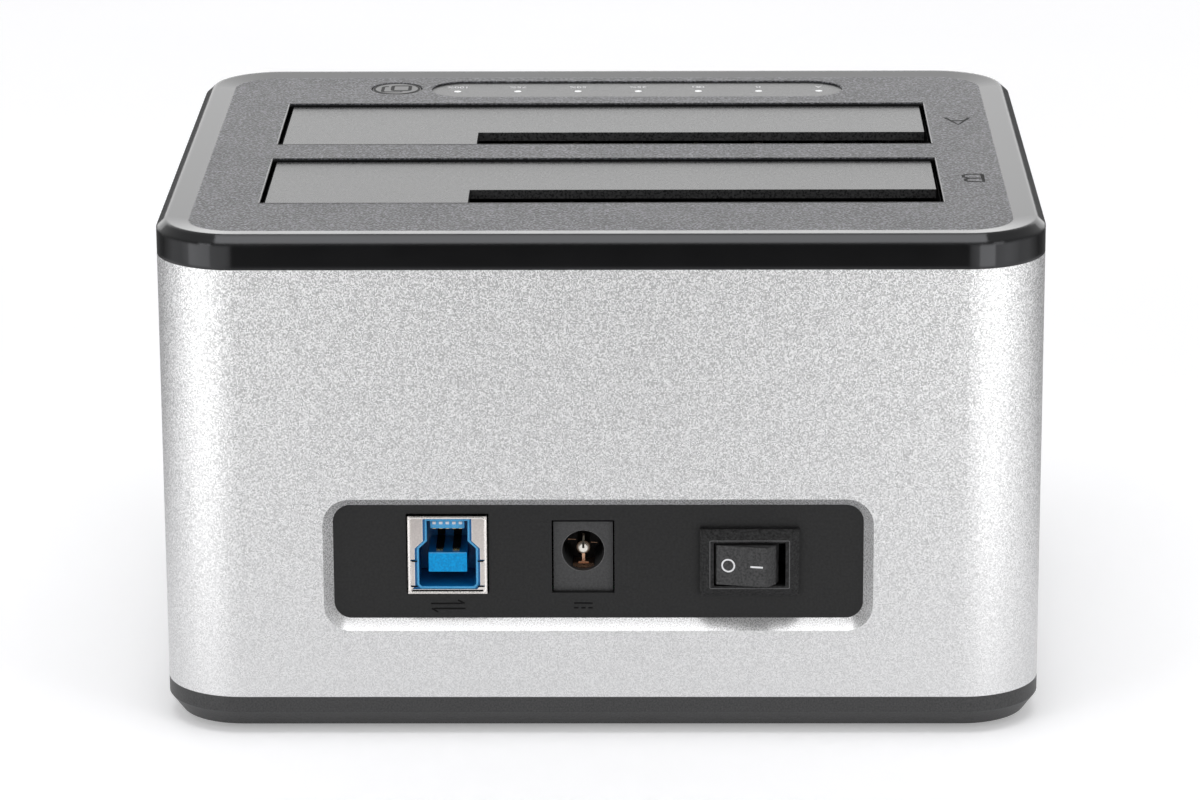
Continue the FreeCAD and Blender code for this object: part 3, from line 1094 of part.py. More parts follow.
def make_ribbon():
    """Flat lead between the two boards, bowed a little, with a socket at each end."""
    under = f"({LED_BOARD_TOP} - led_board_thickness)"
    low_socket = middle_box("LowSocket", ("ribbon_x", BUTTON_Y, "board_top"),
                            ("ribbon_width + 2 * socket_margin", "socket_depth",
                             "socket_height"))
    high_socket = middle_box("HighSocket", ("ribbon_x", BUTTON_Y,
                                            f"{under} - socket_height"),
                             ("ribbon_width + 2 * socket_margin", "socket_depth",
                              "socket_height"))
    subpart("ribbon_sockets", group("RibbonSockets", [low_socket, high_socket]))
    low = value("board_top + socket_height")
    high = value(f"{under} - socket_height")
    y, bow, half = value(BUTTON_Y), value("ribbon_bow"), value("ribbon_thickness") / 2
    middle = (low + high) / 2

    def side(offset):
        return Part.Arc(FreeCAD.Vector(0, y + offset, low),
                        FreeCAD.Vector(0, y + bow + offset, middle),
                        FreeCAD.Vector(0, y + offset, high)).toShape()

    back, front = side(half), side(-half)
    ends = [Part.makeLine(FreeCAD.Vector(0, y - half, z), FreeCAD.Vector(0, y + half, z))
            for z in (low, high)]
    face = Part.Face(Part.Wire(Part.__sortEdges__([back, ends[1], front, ends[0]])))
    width = value("ribbon_width")
    ribbon = doc.addObject("Part::Feature", "Ribbon")
    ribbon.Shape = face.extrude(FreeCAD.Vector(width, 0, 0))
    ribbon.Placement = FreeCAD.Placement(FreeCAD.Vector(value("ribbon_x") - width / 2, 0, 0),
                                         FreeCAD.Rotation())
    subpart("ribbon_lead", ribbon)


make_base_tray()
make_feet()
make_case_screws()
make_sleeve()
make_top_cover()
for bay_number in ("1", "2"):
    make_door(bay_number)
    make_hinge_pin(bay_number)
    make_door_spring(bay_number)
make_bay_frame()
make_frame_screws()
make_main_board()
for bay_number in ("1", "2"):
    make_receptacle(bay_number)
make_board_parts()
make_io_panel()
make_usb_socket()
make_dc_jack()
make_switch()
make_button()
make_lights()
make_ribbon()
doc.recompute()

for thing in doc.Objects:
    if {"Invalid", "Error"} & set(thing.State):
        raise RuntimeError(f"{thing.Label} did not build: {thing.State}")
os.makedirs("parts", exist_ok=True)
for part in subparts:
    if part.Shape.isNull() or not part.Shape.isValid() or not part.Shape.Solids:
        raise RuntimeError(f"{part.Label} has no sound solid")
    part.Shape.exportStep(f"parts/{part.Label}.step")
    print(f"{part.Label:22s} {len(part.Shape.Solids):3d} {part.Shape.Volume:12.3f}")
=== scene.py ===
import json
import math

import bmesh
import bpy
from mathutils import Matrix, Vector


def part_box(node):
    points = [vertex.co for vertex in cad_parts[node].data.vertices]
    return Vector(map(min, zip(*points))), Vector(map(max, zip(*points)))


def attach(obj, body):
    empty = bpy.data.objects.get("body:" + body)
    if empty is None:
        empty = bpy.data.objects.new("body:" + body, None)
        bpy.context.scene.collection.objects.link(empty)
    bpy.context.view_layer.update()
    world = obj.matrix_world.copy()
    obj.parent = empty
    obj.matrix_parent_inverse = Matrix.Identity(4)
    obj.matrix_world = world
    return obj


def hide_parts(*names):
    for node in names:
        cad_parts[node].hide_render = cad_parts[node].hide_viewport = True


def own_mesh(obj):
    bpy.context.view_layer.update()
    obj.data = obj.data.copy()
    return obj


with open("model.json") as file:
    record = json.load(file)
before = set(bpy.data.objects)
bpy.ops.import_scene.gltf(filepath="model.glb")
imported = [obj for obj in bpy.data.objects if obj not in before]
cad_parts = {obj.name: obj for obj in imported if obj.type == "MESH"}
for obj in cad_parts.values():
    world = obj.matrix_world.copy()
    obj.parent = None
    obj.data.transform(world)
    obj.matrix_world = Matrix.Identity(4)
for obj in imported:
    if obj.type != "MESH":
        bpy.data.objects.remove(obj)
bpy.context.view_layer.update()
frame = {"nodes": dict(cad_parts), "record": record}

# The looks of a drive duplicator: finishes for every CAD piece, the printed and moulded
# marks, the fine detail of the sockets, a studio with a pale floor, and the camera.
# The sockets face -Y, the lights lie along +Y, and the marks' sizes are in millimetres.
MM = 0.001
nodes = frame["nodes"]
case_low, case_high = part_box("aluminium_sleeve")
cover_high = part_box("top_cover")[1]
CORNER_RADIUS = 12.1 * MM
RIM_INSET = 4.9 * MM
RIM_DROP = 0.4 * MM
TOP = cover_high.z - RIM_DROP
BAY_EDGES = ((3.8, 32.3), (-34.2, -5.7))
BAY_HALF_WIDTH = 52.2


# ------------------------------------------------------------------ node trees

class Tree:
    """Short ways to add and join the nodes of one tree."""

    def __init__(self, tree):
        self.tree = tree

    def node(self, kind, **settings):
        made = self.tree.nodes.new(kind)
        for key, setting in settings.items():
            setattr(made, key, setting)
        return made

    def link(self, source, socket):
        self.tree.links.new(source, socket)

    def fill(self, socket, source):
        """Link an output, or set a plain number."""
        if hasattr(source, "is_linked"):
            self.link(source, socket)
        else:
            socket.default_value = source

    def math(self, operation, *sources):
        made = self.node("ShaderNodeMath", operation=operation)
        for socket, source in zip(made.inputs, sources):
            self.fill(socket, source)
        return made.outputs[0]

    def product(self, *sources):
        """All the sources multiplied together."""
        result = sources[0]
        for source in sources[1:]:
            result = self.math("MULTIPLY", result, source)
        return result

    def axes(self, vector):
        """The X, Y and Z of a vector."""
        made = self.node("ShaderNodeSeparateXYZ")
        self.link(vector, made.inputs[0])
        return made.outputs

    def span(self, source, low, high, out_low=0.0, out_high=1.0):
        made = self.node("ShaderNodeMapRange")
        self.link(source, made.inputs["Value"])
        for key, number in (("From Min", low), ("From Max", high), ("To Min", out_low),
                            ("To Max", out_high)):
            made.inputs[key].default_value = number
        return made.outputs[0]


class Surface(Tree):
    """A material's node tree with one Principled shader, placed in object coordinates."""

    def __init__(self, name):
        self.material = bpy.data.materials.new(name)
        self.material.use_nodes = True
        super().__init__(self.material.node_tree)
        self.shader = self.tree.nodes["Principled BSDF"]
        self.place = self.node("ShaderNodeTexCoord").outputs["Object"]

    def noise(self, grain, detail=2.0):
        """Noise whose smallest blobs are about one grain wide, in metres."""
        made = self.node("ShaderNodeTexNoise")
        self.link(self.place, made.inputs["Vector"])
        made.inputs["Scale"].default_value = 1 / grain
        made.inputs["Detail"].default_value = detail
        return made.outputs["Fac"]

    def speckle(self, cell):
        """Hard random grains, one value to each small cell, in metres."""
        snapped = self.node("ShaderNodeVectorMath", operation="SNAP")
        self.link(self.place, snapped.inputs[0])
        snapped.inputs[1].default_value = (cell, cell, cell)
        made = self.node("ShaderNodeTexWhiteNoise")
        self.link(snapped.outputs[0], made.inputs["Vector"])
        return made.outputs["Value"]

    def colours(self, factor, first, second):
        made = self.node("ShaderNodeMix", data_type="RGBA")
        self.link(factor, made.inputs["Factor"])
        for key, colour in (("A", first), ("B", second)):
            socket = next(s for s in made.inputs if s.name == key and s.type == "RGBA")
            if hasattr(colour, "is_linked"):
                self.link(colour, socket)
            else:
                socket.default_value = (*colour, 1)
        return next(s for s in made.outputs if s.type == "RGBA")

    def bump(self, height, depth, strength=1.0, over=None):
        made = self.node("ShaderNodeBump")
        made.inputs["Distance"].default_value = depth
        self.fill(made.inputs["Strength"], strength)
        self.link(height, made.inputs["Height"])
        if over is not None:
            self.link(over, made.inputs["Normal"])
        self.link(made.outputs[0], self.shader.inputs["Normal"])

    def base(self, colour):
        self.link(colour, self.shader.inputs["Base Color"])

    def rough(self, source):
        self.link(source, self.shader.inputs["Roughness"])


COOL = (0.95, 0.96, 1.0, 1)
METAL = 1.0


def grey(level):
    return (level, level, level * 1.02)


def finish(name, dark, light, grain=0.3 * MM, depth=8e-6, roughness=(0.45, 0.6), metal=0.0,
           ior=1.5, wear=0.06, specular=0.5):
    """Moulded, drawn or plated surface: grain, slow mottling, and roughness that follows."""
    made = Surface(name)
    fine = made.noise(grain)
    broad = made.noise(grain * 40, 1.0)
    tone = made.math("ADD", made.span(fine, 0.3, 0.7, 0.0, 1.0 - wear),
                     made.span(broad, 0.35, 0.65, 0.0, wear))
    made.base(made.colours(tone, dark, light))
    made.rough(made.span(fine, 0.3, 0.7, *roughness))
    made.bump(fine, depth)
    made.shader.inputs["Metallic"].default_value = metal
    made.shader.inputs["IOR"].default_value = ior
    made.shader.inputs["Specular IOR Level"].default_value = specular
    return made


def blasted_aluminium():
    """Bead-blasted and anodised, calmer near the foot, with smoother cut bevels."""
    made = Surface("sleeve_aluminium")
    fine = made.noise(0.13 * MM, 1.0)
    coarse = made.noise(0.24 * MM)
    grain = made.math("ADD", made.product(fine, 0.65), made.product(coarse, 0.35))
    x, y, z = made.axes(made.place)
    blobs = made.math("SUBTRACT", made.span(grain, 0.41, 0.59), 0.5)
    specks = made.math("SUBTRACT", made.speckle(0.17 * MM), 0.5)
    swing = made.span(z, 6 * MM, 72 * MM, 0.35, 1.25)
    mixed = made.math("ADD", made.product(blobs, 0.45), specks)
    tone = made.math("ADD", made.product(mixed, swing), 0.5)

    # The window's bevels lie just behind the front face, short of the round corners.
    face = case_low.y + 0.05 * MM
    reach = case_high.x - 2 * CORNER_RADIUS + 4 * MM
    machined = made.product(
        made.product(made.math("GREATER_THAN", y, face),
                     made.math("LESS_THAN", y, face + 2 * MM)),
        made.math("LESS_THAN", made.math("ABSOLUTE", x), reach))
    blasted = made.colours(tone, (0.46, 0.46, 0.462), (0.96, 0.96, 0.962))
    cut = made.colours(made.span(coarse, 0.3, 0.7), (0.70, 0.70, 0.705), (0.78, 0.78, 0.785))
    made.base(made.colours(machined, blasted, cut))
    made.rough(made.math("SUBTRACT", made.span(coarse, 0.3, 0.7, 0.46, 0.58),
                         made.product(machined, 0.24)))
    made.link(made.math("SUBTRACT", 1.0, made.product(machined, 0.5)),
              made.shader.inputs["Metallic"])
    made.bump(grain, 14e-6, made.math("SUBTRACT", 1.0, machined))
    return made.material


def cover_plastic():
    """Black moulding: gloss rim and sides round a spark-eroded top."""
    made = Surface("cover_black")
    x, y, z = made.axes(made.place)

    # How far a point lies inside the cover's rounded outline.
    over = [made.math("SUBTRACT", made.math("ABSOLUTE", axis), half - CORNER_RADIUS)
            for axis, half in ((x, cover_high.x), (y, cover_high.y))]
    outside = [made.math("MAXIMUM", value, 0.0) for value in over]
    squares = [made.product(value, value) for value in outside]
    reach = made.math("SQRT", made.math("ADD", *squares))
    inner = made.math("MINIMUM", made.math("MAXIMUM", *over), 0.0)
    inset = made.math("SUBTRACT", CORNER_RADIUS, made.math("ADD", reach, inner))
    on_top = made.product(made.span(inset, RIM_INSET - 0.15 * MM, RIM_INSET + 0.1 * MM),
                          made.span(z, TOP - 0.2 * MM, TOP - 0.1 * MM))

    fine = made.noise(0.40 * MM, 1.0)
    soft = made.noise(9 * MM)
    plain = made.colours(made.span(soft, 0.3, 0.7), grey(0.003), grey(0.005))
    pits = made.math("ADD", made.product(made.span(fine, 0.35, 0.65), 0.5),
                     made.product(made.speckle(0.24 * MM), 0.5))
    # The grained top's grey is partly its own spark-eroded grain and partly painted sheen, a
    # lighter colour for its grazing reflection.
    grained = made.colours(made.span(pits, 0.42, 0.80), (0.0, 0.0, 0.001), (0.17, 0.17, 0.19))
    made.base(made.colours(on_top, plain, grained))
    made.rough(made.math("ADD", made.product(on_top, 0.30),
                         made.span(soft, 0.3, 0.7, 0.07, 0.1)))
    eased = made.node("ShaderNodeBevel", samples=6)
    eased.inputs["Radius"].default_value = 0.8 * MM
    made.bump(fine, 160e-6, on_top, eased.outputs[0])
    made.shader.inputs["IOR"].default_value = 1.42
    made.shader.inputs["Specular Tint"].default_value = COOL
    return made.material


def board_resist():
    """Green solder resist over faint copper tracks."""
    made = Surface("board_green")
    tracks = made.node("ShaderNodeTexBrick")
    made.link(made.place, tracks.inputs["Vector"])
    tracks.inputs["Scale"].default_value = 260.0
    tracks.inputs["Mortar Size"].default_value = 0.08
    fine = made.noise(0.8 * MM)
    tone = made.math("ADD", made.product(tracks.outputs["Fac"], 0.35),
                     made.span(fine, 0.3, 0.7, 0.1, 0.6))
    made.base(made.colours(tone, (0.006, 0.075, 0.03), (0.02, 0.16, 0.07)))
    made.rough(made.span(fine, 0.3, 0.7, 0.22, 0.34))
    made.bump(tracks.outputs["Fac"], 20e-6, 0.4)
    return made.material


def clear_acrylic():
    """Moulded light guide: white with a painted glow at its tips, and painted shade below the
    cover.
    """
    made = Surface("light_clear")
    # Painted light and shade by height: a painted glow at the tips, painted shade below the cover.
    tip = made.span(made.axes(made.place)["Z"], TOP - 1.6 * MM, TOP - 0.8 * MM)
    fine = made.noise(0.5 * MM)
    mottle = made.span(fine, 0.3, 0.7)
    lit = made.colours(mottle, (0.86, 0.87, 0.88), (0.96, 0.97, 0.97))
    shaded = made.colours(mottle, grey(0.02), grey(0.05))
    made.base(made.colours(tip, shaded, lit))
    made.rough(made.span(fine, 0.3, 0.7, 0.3, 0.42))
    made.bump(fine, 2e-6)
    made.shader.inputs["Emission Color"].default_value = (1.0, 1.0, 1.0, 1)
    made.link(made.product(tip, 0.12), made.shader.inputs["Emission Strength"])
    return made.material


def turned_pin():
    """Turned contact pin: its round nose is bright in the middle, with painted shade at its edge.
    """
    made = Surface("pin_metal")
    low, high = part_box("dc_centre_pin")
    middle = (low + high) / 2
    x, y, z = made.axes(made.place)
    squares = []
    for axis, centre in ((x, middle.x), (z, middle.z)):
        off = made.math("SUBTRACT", axis, centre)
        squares.append(made.product(off, off))
    # Painted shade: a dark ring round the middle of the pin's nose.
    edge = made.span(made.math("SQRT", made.math("ADD", *squares)), 0.5 * MM, 0.85 * MM)
    fine = made.noise(0.12 * MM)
    nose = made.colours(made.span(fine, 0.3, 0.7), (0.80, 0.76, 0.68), (0.95, 0.92, 0.86))
    made.base(made.colours(edge, nose, (0.10, 0.07, 0.05)))
    made.rough(made.span(fine, 0.3, 0.7, 0.3, 0.42))
    made.shader.inputs["Metallic"].default_value = METAL
    return made.material


FINISHES = {
    "base_black": dict(dark=grey(0.018), light=grey(0.052), grain=0.28 * MM, depth=30e-6,
                       roughness=(0.38, 0.55)),
    "rubber": dict(dark=grey(0.012), light=grey(0.03), grain=0.25 * MM, depth=20e-6,
                   roughness=(0.75, 0.9)),
    "screw_steel": dict(dark=grey(0.30), light=grey(0.46), grain=0.12 * MM, depth=3e-6,
                        roughness=(0.25, 0.42), metal=METAL),
    "bright_steel": dict(dark=grey(0.62), light=grey(0.80), grain=0.1 * MM, depth=2e-6,
                         roughness=(0.12, 0.24), metal=METAL),
    "spring_steel": dict(dark=grey(0.34), light=grey(0.52), grain=0.12 * MM, depth=3e-6,
                         roughness=(0.22, 0.38), metal=METAL),
    "frame_black": dict(dark=grey(0.012), light=grey(0.03), grain=0.3 * MM, depth=14e-6,
                        roughness=(0.45, 0.62)),
    "connector_black": dict(dark=grey(0.012), light=grey(0.026), grain=0.2 * MM, depth=6e-6,
                            roughness=(0.4, 0.55)),
    "contact_gold": dict(dark=(0.62, 0.42, 0.16), light=(0.86, 0.66, 0.30), grain=0.1 * MM,
                         depth=2e-6, roughness=(0.18, 0.32), metal=METAL),
    "chip_black": dict(dark=grey(0.011), light=grey(0.025), grain=0.16 * MM, depth=6e-6,
                       roughness=(0.5, 0.62)),
    "capacitor_case": dict(dark=grey(0.55), light=grey(0.74), grain=0.15 * MM, depth=3e-6,
                           roughness=(0.25, 0.4), metal=METAL),
    "ferrite_grey": dict(dark=grey(0.05), light=grey(0.11), grain=0.2 * MM, depth=10e-6,
                         roughness=(0.6, 0.75)),
    "panel_black": dict(dark=grey(0.006), light=grey(0.015), grain=0.4 * MM, depth=24e-6,
                        roughness=(0.42, 0.55), ior=1.4),
    "socket_steel": dict(dark=(0.62, 0.58, 0.56), light=(0.78, 0.75, 0.72), grain=0.2 * MM,
                         depth=2e-6, roughness=(0.16, 0.3), metal=METAL, wear=0.3),
    "socket_blue": dict(dark=(0.0, 0.10, 0.32), light=(0.0, 0.18, 0.46), grain=0.2 * MM,
                        depth=3e-6, roughness=(0.3, 0.42)),
    "jack_black": dict(dark=grey(0.028), light=grey(0.055), grain=0.25 * MM, depth=7e-6,
                       roughness=(0.4, 0.52)),
    "contact_copper": dict(dark=(0.62, 0.35, 0.22), light=(0.86, 0.55, 0.38), grain=0.12 * MM,
                           depth=3e-6, roughness=(0.25, 0.4), metal=METAL),
    "switch_black": dict(dark=grey(0.002), light=grey(0.032), grain=0.36 * MM, depth=80e-6,
                         roughness=(0.40, 0.58), ior=1.3),
    "rocker_black": dict(dark=grey(0.005), light=grey(0.055), grain=0.36 * MM, depth=70e-6,
                         roughness=(0.4, 0.55)),
    "wire_red": dict(dark=(0.28, 0.01, 0.01), light=(0.45, 0.02, 0.02), grain=0.4 * MM,
                     depth=4e-6, roughness=(0.35, 0.5)),
    "strip_grey": dict(dark=grey(0.010), light=grey(0.030), grain=0.3 * MM, depth=6e-6,
                       roughness=(0.26, 0.34)),
    "socket_white": dict(dark=(0.62, 0.61, 0.56), light=(0.76, 0.75, 0.70), grain=0.3 * MM,
                         depth=4e-6, roughness=(0.4, 0.5)),
    "ribbon_white": dict(dark=(0.70, 0.70, 0.66), light=(0.84, 0.84, 0.80), grain=0.5 * MM,
                         depth=4e-6, roughness=(0.3, 0.45)),
    "door_grey": dict(dark=grey(0.012), light=grey(0.062), grain=0.34 * MM, depth=10e-6,
                      roughness=(0.24, 0.34)),
    "button_grey": dict(dark=grey(0.02), light=grey(0.06), grain=0.3 * MM, depth=5e-6,
                        roughness=(0.3, 0.4)),
    "print_white": dict(dark=grey(0.72), light=grey(0.88), grain=0.15 * MM, depth=2e-6,
                        roughness=(0.45, 0.6)),
    # Dark for printed marks, and for painted shade in slits, slots and recesses.
    "ink_and_shade_dark": dict(dark=grey(0.003), light=grey(0.009), grain=0.2 * MM, depth=3e-6,
                      roughness=(0.5, 0.65), specular=0.08),
    "tongue_blue": dict(dark=(0.0, 0.24, 0.60), light=(0.0, 0.40, 0.84), grain=0.3 * MM,
                        depth=16e-6, roughness=(0.3, 0.42), ior=1.3),
    # Lighter copy of the shell's steel, a painted highlight on its fold.
    "fold_painted_highlight": dict(dark=(0.80, 0.76, 0.73), light=(0.95, 0.92, 0.89), grain=0.2 * MM,
                       depth=2e-6, roughness=(0.2, 0.32), metal=METAL, wear=0.3),
    "plate_steel": dict(dark=(0.50, 0.46, 0.44), light=(0.70, 0.65, 0.62), grain=0.2 * MM,
                        depth=2e-6, roughness=(0.3, 0.42), metal=METAL, wear=0.5),
    "slot_gloss": dict(dark=grey(0.02), light=grey(0.05), grain=0.2 * MM, depth=2e-6,
                       roughness=(0.12, 0.2)),
    # Light grey for painted highlights along edges.
    "painted_highlight_grey": dict(dark=grey(0.06), light=grey(0.12), grain=0.2 * MM, depth=3e-6,
                      roughness=(0.3, 0.4)),
    # Ink for the button's icon, and painted shade for its ring.
    "ink_and_gap_shade_grey": dict(dark=grey(0.012), light=grey(0.03), grain=0.15 * MM, depth=2e-6,
                     roughness=(0.5, 0.65), specular=0.12),
    "lamp_white": dict(dark=(0.72, 0.71, 0.62), light=(0.88, 0.88, 0.82), grain=0.3 * MM,
                       depth=2e-6, roughness=(0.2, 0.3), wear=0.2),
    "pale_blue": dict(dark=(0.03, 0.30, 0.62), light=(0.10, 0.44, 0.76), grain=0.2 * MM,
                      depth=3e-6, roughness=(0.3, 0.42)),
}
materials = {slot: finish(slot, **facts).material for slot, facts in FINISHES.items()}
materials.update(sleeve_aluminium=blasted_aluminium(), cover_black=cover_plastic(),
                 board_green=board_resist(), light_clear=clear_acrylic())

for subpart in frame["record"]["subparts"]:
    holder = nodes[subpart["node"]]
    for slot in holder.material_slots:
        slot.material = materials[subpart["material_slot"]]
nodes["dc_centre_pin"].material_slots[0].material = turned_pin()


# ------------------------------------------------------------------ marks and fine trim

def place(origin, across, up):
    """Frame of a flat mark: where it sits, its reading direction and its upward direction."""
    x, y = Vector(across).normalized(), Vector(up).normalized()
    spin = Matrix((x, y, x.cross(y))).transposed().to_4x4()
    return Matrix.Translation(Vector(origin) * MM) @ spin


def settle(obj, at, slot, body, finish_name=None):
    """Turn a curve or text object into a mesh piece in place, on its body."""
    bpy.context.scene.collection.objects.link(obj)
    obj.matrix_world = at
    bpy.context.view_layer.update()
    shown = obj.evaluated_get(bpy.context.evaluated_depsgraph_get())
    mesh = bpy.data.meshes.new_from_object(shown)
    mesh.transform(at)
    name = obj.name
    bpy.data.objects.remove(obj)
    piece = bpy.data.objects.new(name, mesh)
    mesh.materials.clear()
    mesh.materials.append(materials[finish_name or slot])
    bpy.context.scene.collection.objects.link(piece)
    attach(piece, body)
    return piece


def stroke(name, lines, width, rise, at, slot, body="root", finish_name=None):
    """Rounded raised lines: each line is its points and whether it closes."""
    curve = bpy.data.curves.new(name, "CURVE")
    curve.dimensions, curve.resolution_u = "3D", 6
    curve.bevel_depth, curve.bevel_resolution, curve.use_fill_caps = width / 2 * MM, 2, True
    for points, closed in lines:
        spline = curve.splines.new("POLY")
        spline.points.add(len(points) - 1)
        for point, (u, v) in zip(spline.points, points):
            point.co = (u * MM, v * MM, 0, 1)
        spline.use_cyclic_u = closed
    flat = Matrix.Diagonal((1, 1, rise / (width / 2), 1))
    return settle(bpy.data.objects.new(name, curve), at @ flat, slot, body, finish_name)


def plate(name, outlines, rise, at, slot, body="root", finish_name=None, edge=0.0):
    """Thin plate cut to its outlines, later outlines being holes, its edges broken."""
    curve = bpy.data.curves.new(name, "CURVE")
    curve.dimensions, curve.fill_mode = "2D", "BOTH"
    curve.extrude, curve.bevel_depth, curve.offset = (rise / 2 - edge) * MM, edge * MM, -edge * MM
    for points in outlines:
        spline = curve.splines.new("POLY")
        spline.points.add(len(points) - 1)
        for point, (u, v) in zip(spline.points, points):
            point.co = (u * MM, v * MM, 0, 1)
        spline.use_cyclic_u = True
    raised = at @ Matrix.Translation((0, 0, rise / 2 * MM))
    return settle(bpy.data.objects.new(name, curve), raised, slot, body, finish_name)


def lettering(name, text, height, rise, at, slot, body="root", finish_name=None):
    """Generic figures and letters, raised like ink."""
    data = bpy.data.curves.new(name, "FONT")
    data.body, data.align_x, data.align_y = text, "CENTER", "CENTER"
    data.size, data.extrude, data.resolution_u = height / 0.7 * MM, rise / 2 * MM, 3
    return settle(bpy.data.objects.new(name, data), at, slot, body, finish_name)


def ring_points(radius, count=32, middle=(0, 0)):
    return [(middle[0] + radius * math.cos(2 * math.pi * k / count),
             middle[1] + radius * math.sin(2 * math.pi * k / count)) for k in range(count)]


def rounded(low, high, radius, steps=5):
    """Rounded rectangle between two corners, anticlockwise."""
    points = []
    corners = ((high[0] - radius, high[1] - radius, 0), (low[0] + radius, high[1] - radius, 90),
               (low[0] + radius, low[1] + radius, 180), (high[0] - radius, low[1] + radius, 270))
    for u, v, start in corners:
        for k in range(steps + 1):
            angle = math.radians(start + 90 * k / steps)
            points.append((u + radius * math.cos(angle), v + radius * math.sin(angle)))
    return points


def front_at(x, y, z):
    """Flat frame facing the sockets' side, read from there."""
    return place((x, y, z), (1, 0, 0), (0, 0, 1))


def top_at(x, y, z):
    """Flat frame on top, read from the lights' side."""
    return place((x, y, z), (-1, 0, 0), (0, -1, 0))


def middle_mm(node):
    low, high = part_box(node)
    return (low + high) / 2 / MM


def dress_usb():
    low, high = (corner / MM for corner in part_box("usb_shell"))
    x, face = (low.x + high.x) / 2, low.y
    sill, step, neck, top = low.z + 1.0, low.z + 7.2, low.z + 8.4, high.z - 0.35
    wide, slim = 4.95, 3.7
    at = front_at(x, face, 0)
    half = (high.x - low.x) / 2
    # Painted highlight: the shell's rolled front fold in a lighter copy of its steel.
    stroke("usb_shell_fold", [(rounded((-half + 0.22, low.z + 0.22), (half - 0.22, high.z - 0.22),
                                       0.55), True)], 0.4, 0.16, at, "socket_steel",
           finish_name="fold_painted_highlight")
    for side, word in ((-1, "left"), (1, "right")):
        def turned(points):
            return [(side * u, v) for u, v in points]
        upper = [(half - 0.5, top), (half - 0.5, low.z + 5.5), (wide + 0.12, low.z + 5.5),
                 (wide + 0.12, step), (slim + 0.12, neck), (slim + 0.12, top)]
        lower = [(half - 0.5, low.z + 4.95), (half - 0.5, low.z + 1.45),
                 (wide + 0.12, low.z + 1.45), (wide + 0.12, low.z + 4.95)]
        plate(f"usb_cheek_{word}_upper", [turned(upper)], 0.1, at, "socket_steel", edge=0.03,
              finish_name="plate_steel")
        plate(f"usb_cheek_{word}_lower", [turned(lower)], 0.1, at, "socket_steel", edge=0.03,
              finish_name="plate_steel")
        # Painted shade: dark plates in the cheeks' slits.
        slits = [turned([(half - 0.55, low.z + level - 0.11), (wide - 0.35, low.z + level - 0.11),
                         (wide - 0.35, low.z + level + 0.11), (half - 0.55, low.z + level + 0.11)])
                 for level in (1.2, 5.22)]
        for number, slit in enumerate(slits):
            plate(f"usb_slit_{word}_{number}", [slit], 0.13, at, "socket_steel", edge=0.02,
                  finish_name="ink_and_shade_dark")
    # Painted shade: a dark strip along the fold at the shell's foot.
    plate("usb_foot_fold", [[(-half + 0.6, low.z + 0.42), (half - 0.6, low.z + 0.42),
                             (half - 0.6, low.z + 0.62), (-half + 0.6, low.z + 0.62)]],
          0.1, at, "socket_steel", edge=0.02, finish_name="ink_and_shade_dark")
    mouth = [(4.5, sill + 0.4), (4.5, step), (3.25, neck), (3.25, high.z - 0.62),
             (-3.25, high.z - 0.62), (-3.25, neck), (-4.5, step), (-4.5, sill + 0.4),
             (-4.0, sill - 0.1), (4.0, sill - 0.1)]
    stroke("usb_mouth_lip", [(mouth, True)], 0.42, 0.16, front_at(x, face + 0.34, 0),
           "socket_blue", finish_name="pale_blue")
    tongue = face + 1.4
    plate("usb_tongue_face", [rounded((-2.92, low.z + 3.1), (2.92, low.z + 6.2), 0.2)], 0.12,
          front_at(x, tongue, 0), "socket_blue", edge=0.05, finish_name="tongue_blue")
    # Painted highlight: a pale blue line along the tongue's top front edge.
    stroke("usb_tongue_painted_highlight", [([(-2.75, low.z + 6.12), (2.75, low.z + 6.12)], False)], 0.2,
           0.1, front_at(x, tongue - 0.1, 0), "socket_blue", finish_name="pale_blue")
    plate("usb_top_tongue_face", [rounded((-2.6, high.z - 2.28), (2.6, high.z - 1.0), 0.15)],
          0.12, front_at(x, tongue, 0), "socket_blue", edge=0.05, finish_name="pale_blue")
    for k in range(5):
        plate(f"usb_fine_tip_{k}", [rounded((k - 2.27, high.z - 1.62), (k - 1.73, high.z - 1.2),
                                            0.1)], 0.16, front_at(x, tongue - 0.06, 0),
              "contact_gold", edge=0.04, finish_name="print_white")
    shelf = place((x, 0, low.z + 6.4), (1, 0, 0), (0, 1, 0))
    back = low.y + 9.35
    # Painted shade: dark plates on the shelf and on the back wall, where the tongue's slots are.
    for side in (-1, 1):
        word = "left" if side < 0 else "right"
        u = side * 1.25
        plate(f"usb_slot_{word}", [[(u - 0.6, tongue + 1.5), (u + 0.6, tongue + 1.5),
                                    (u + 0.6, back), (u - 0.6, back)]], 0.06, shelf,
              "socket_blue", edge=0.02, finish_name="ink_and_shade_dark")
        plate(f"usb_slot_wall_{word}", [[(u - 0.6, low.z + 6.5), (u + 0.6, low.z + 6.5),
                                         (u + 0.6, low.z + 9.9), (u - 0.6, low.z + 9.9)]],
              0.06, front_at(x, back + 0.05, 0), "socket_blue", edge=0.02,
              finish_name="ink_and_shade_dark")


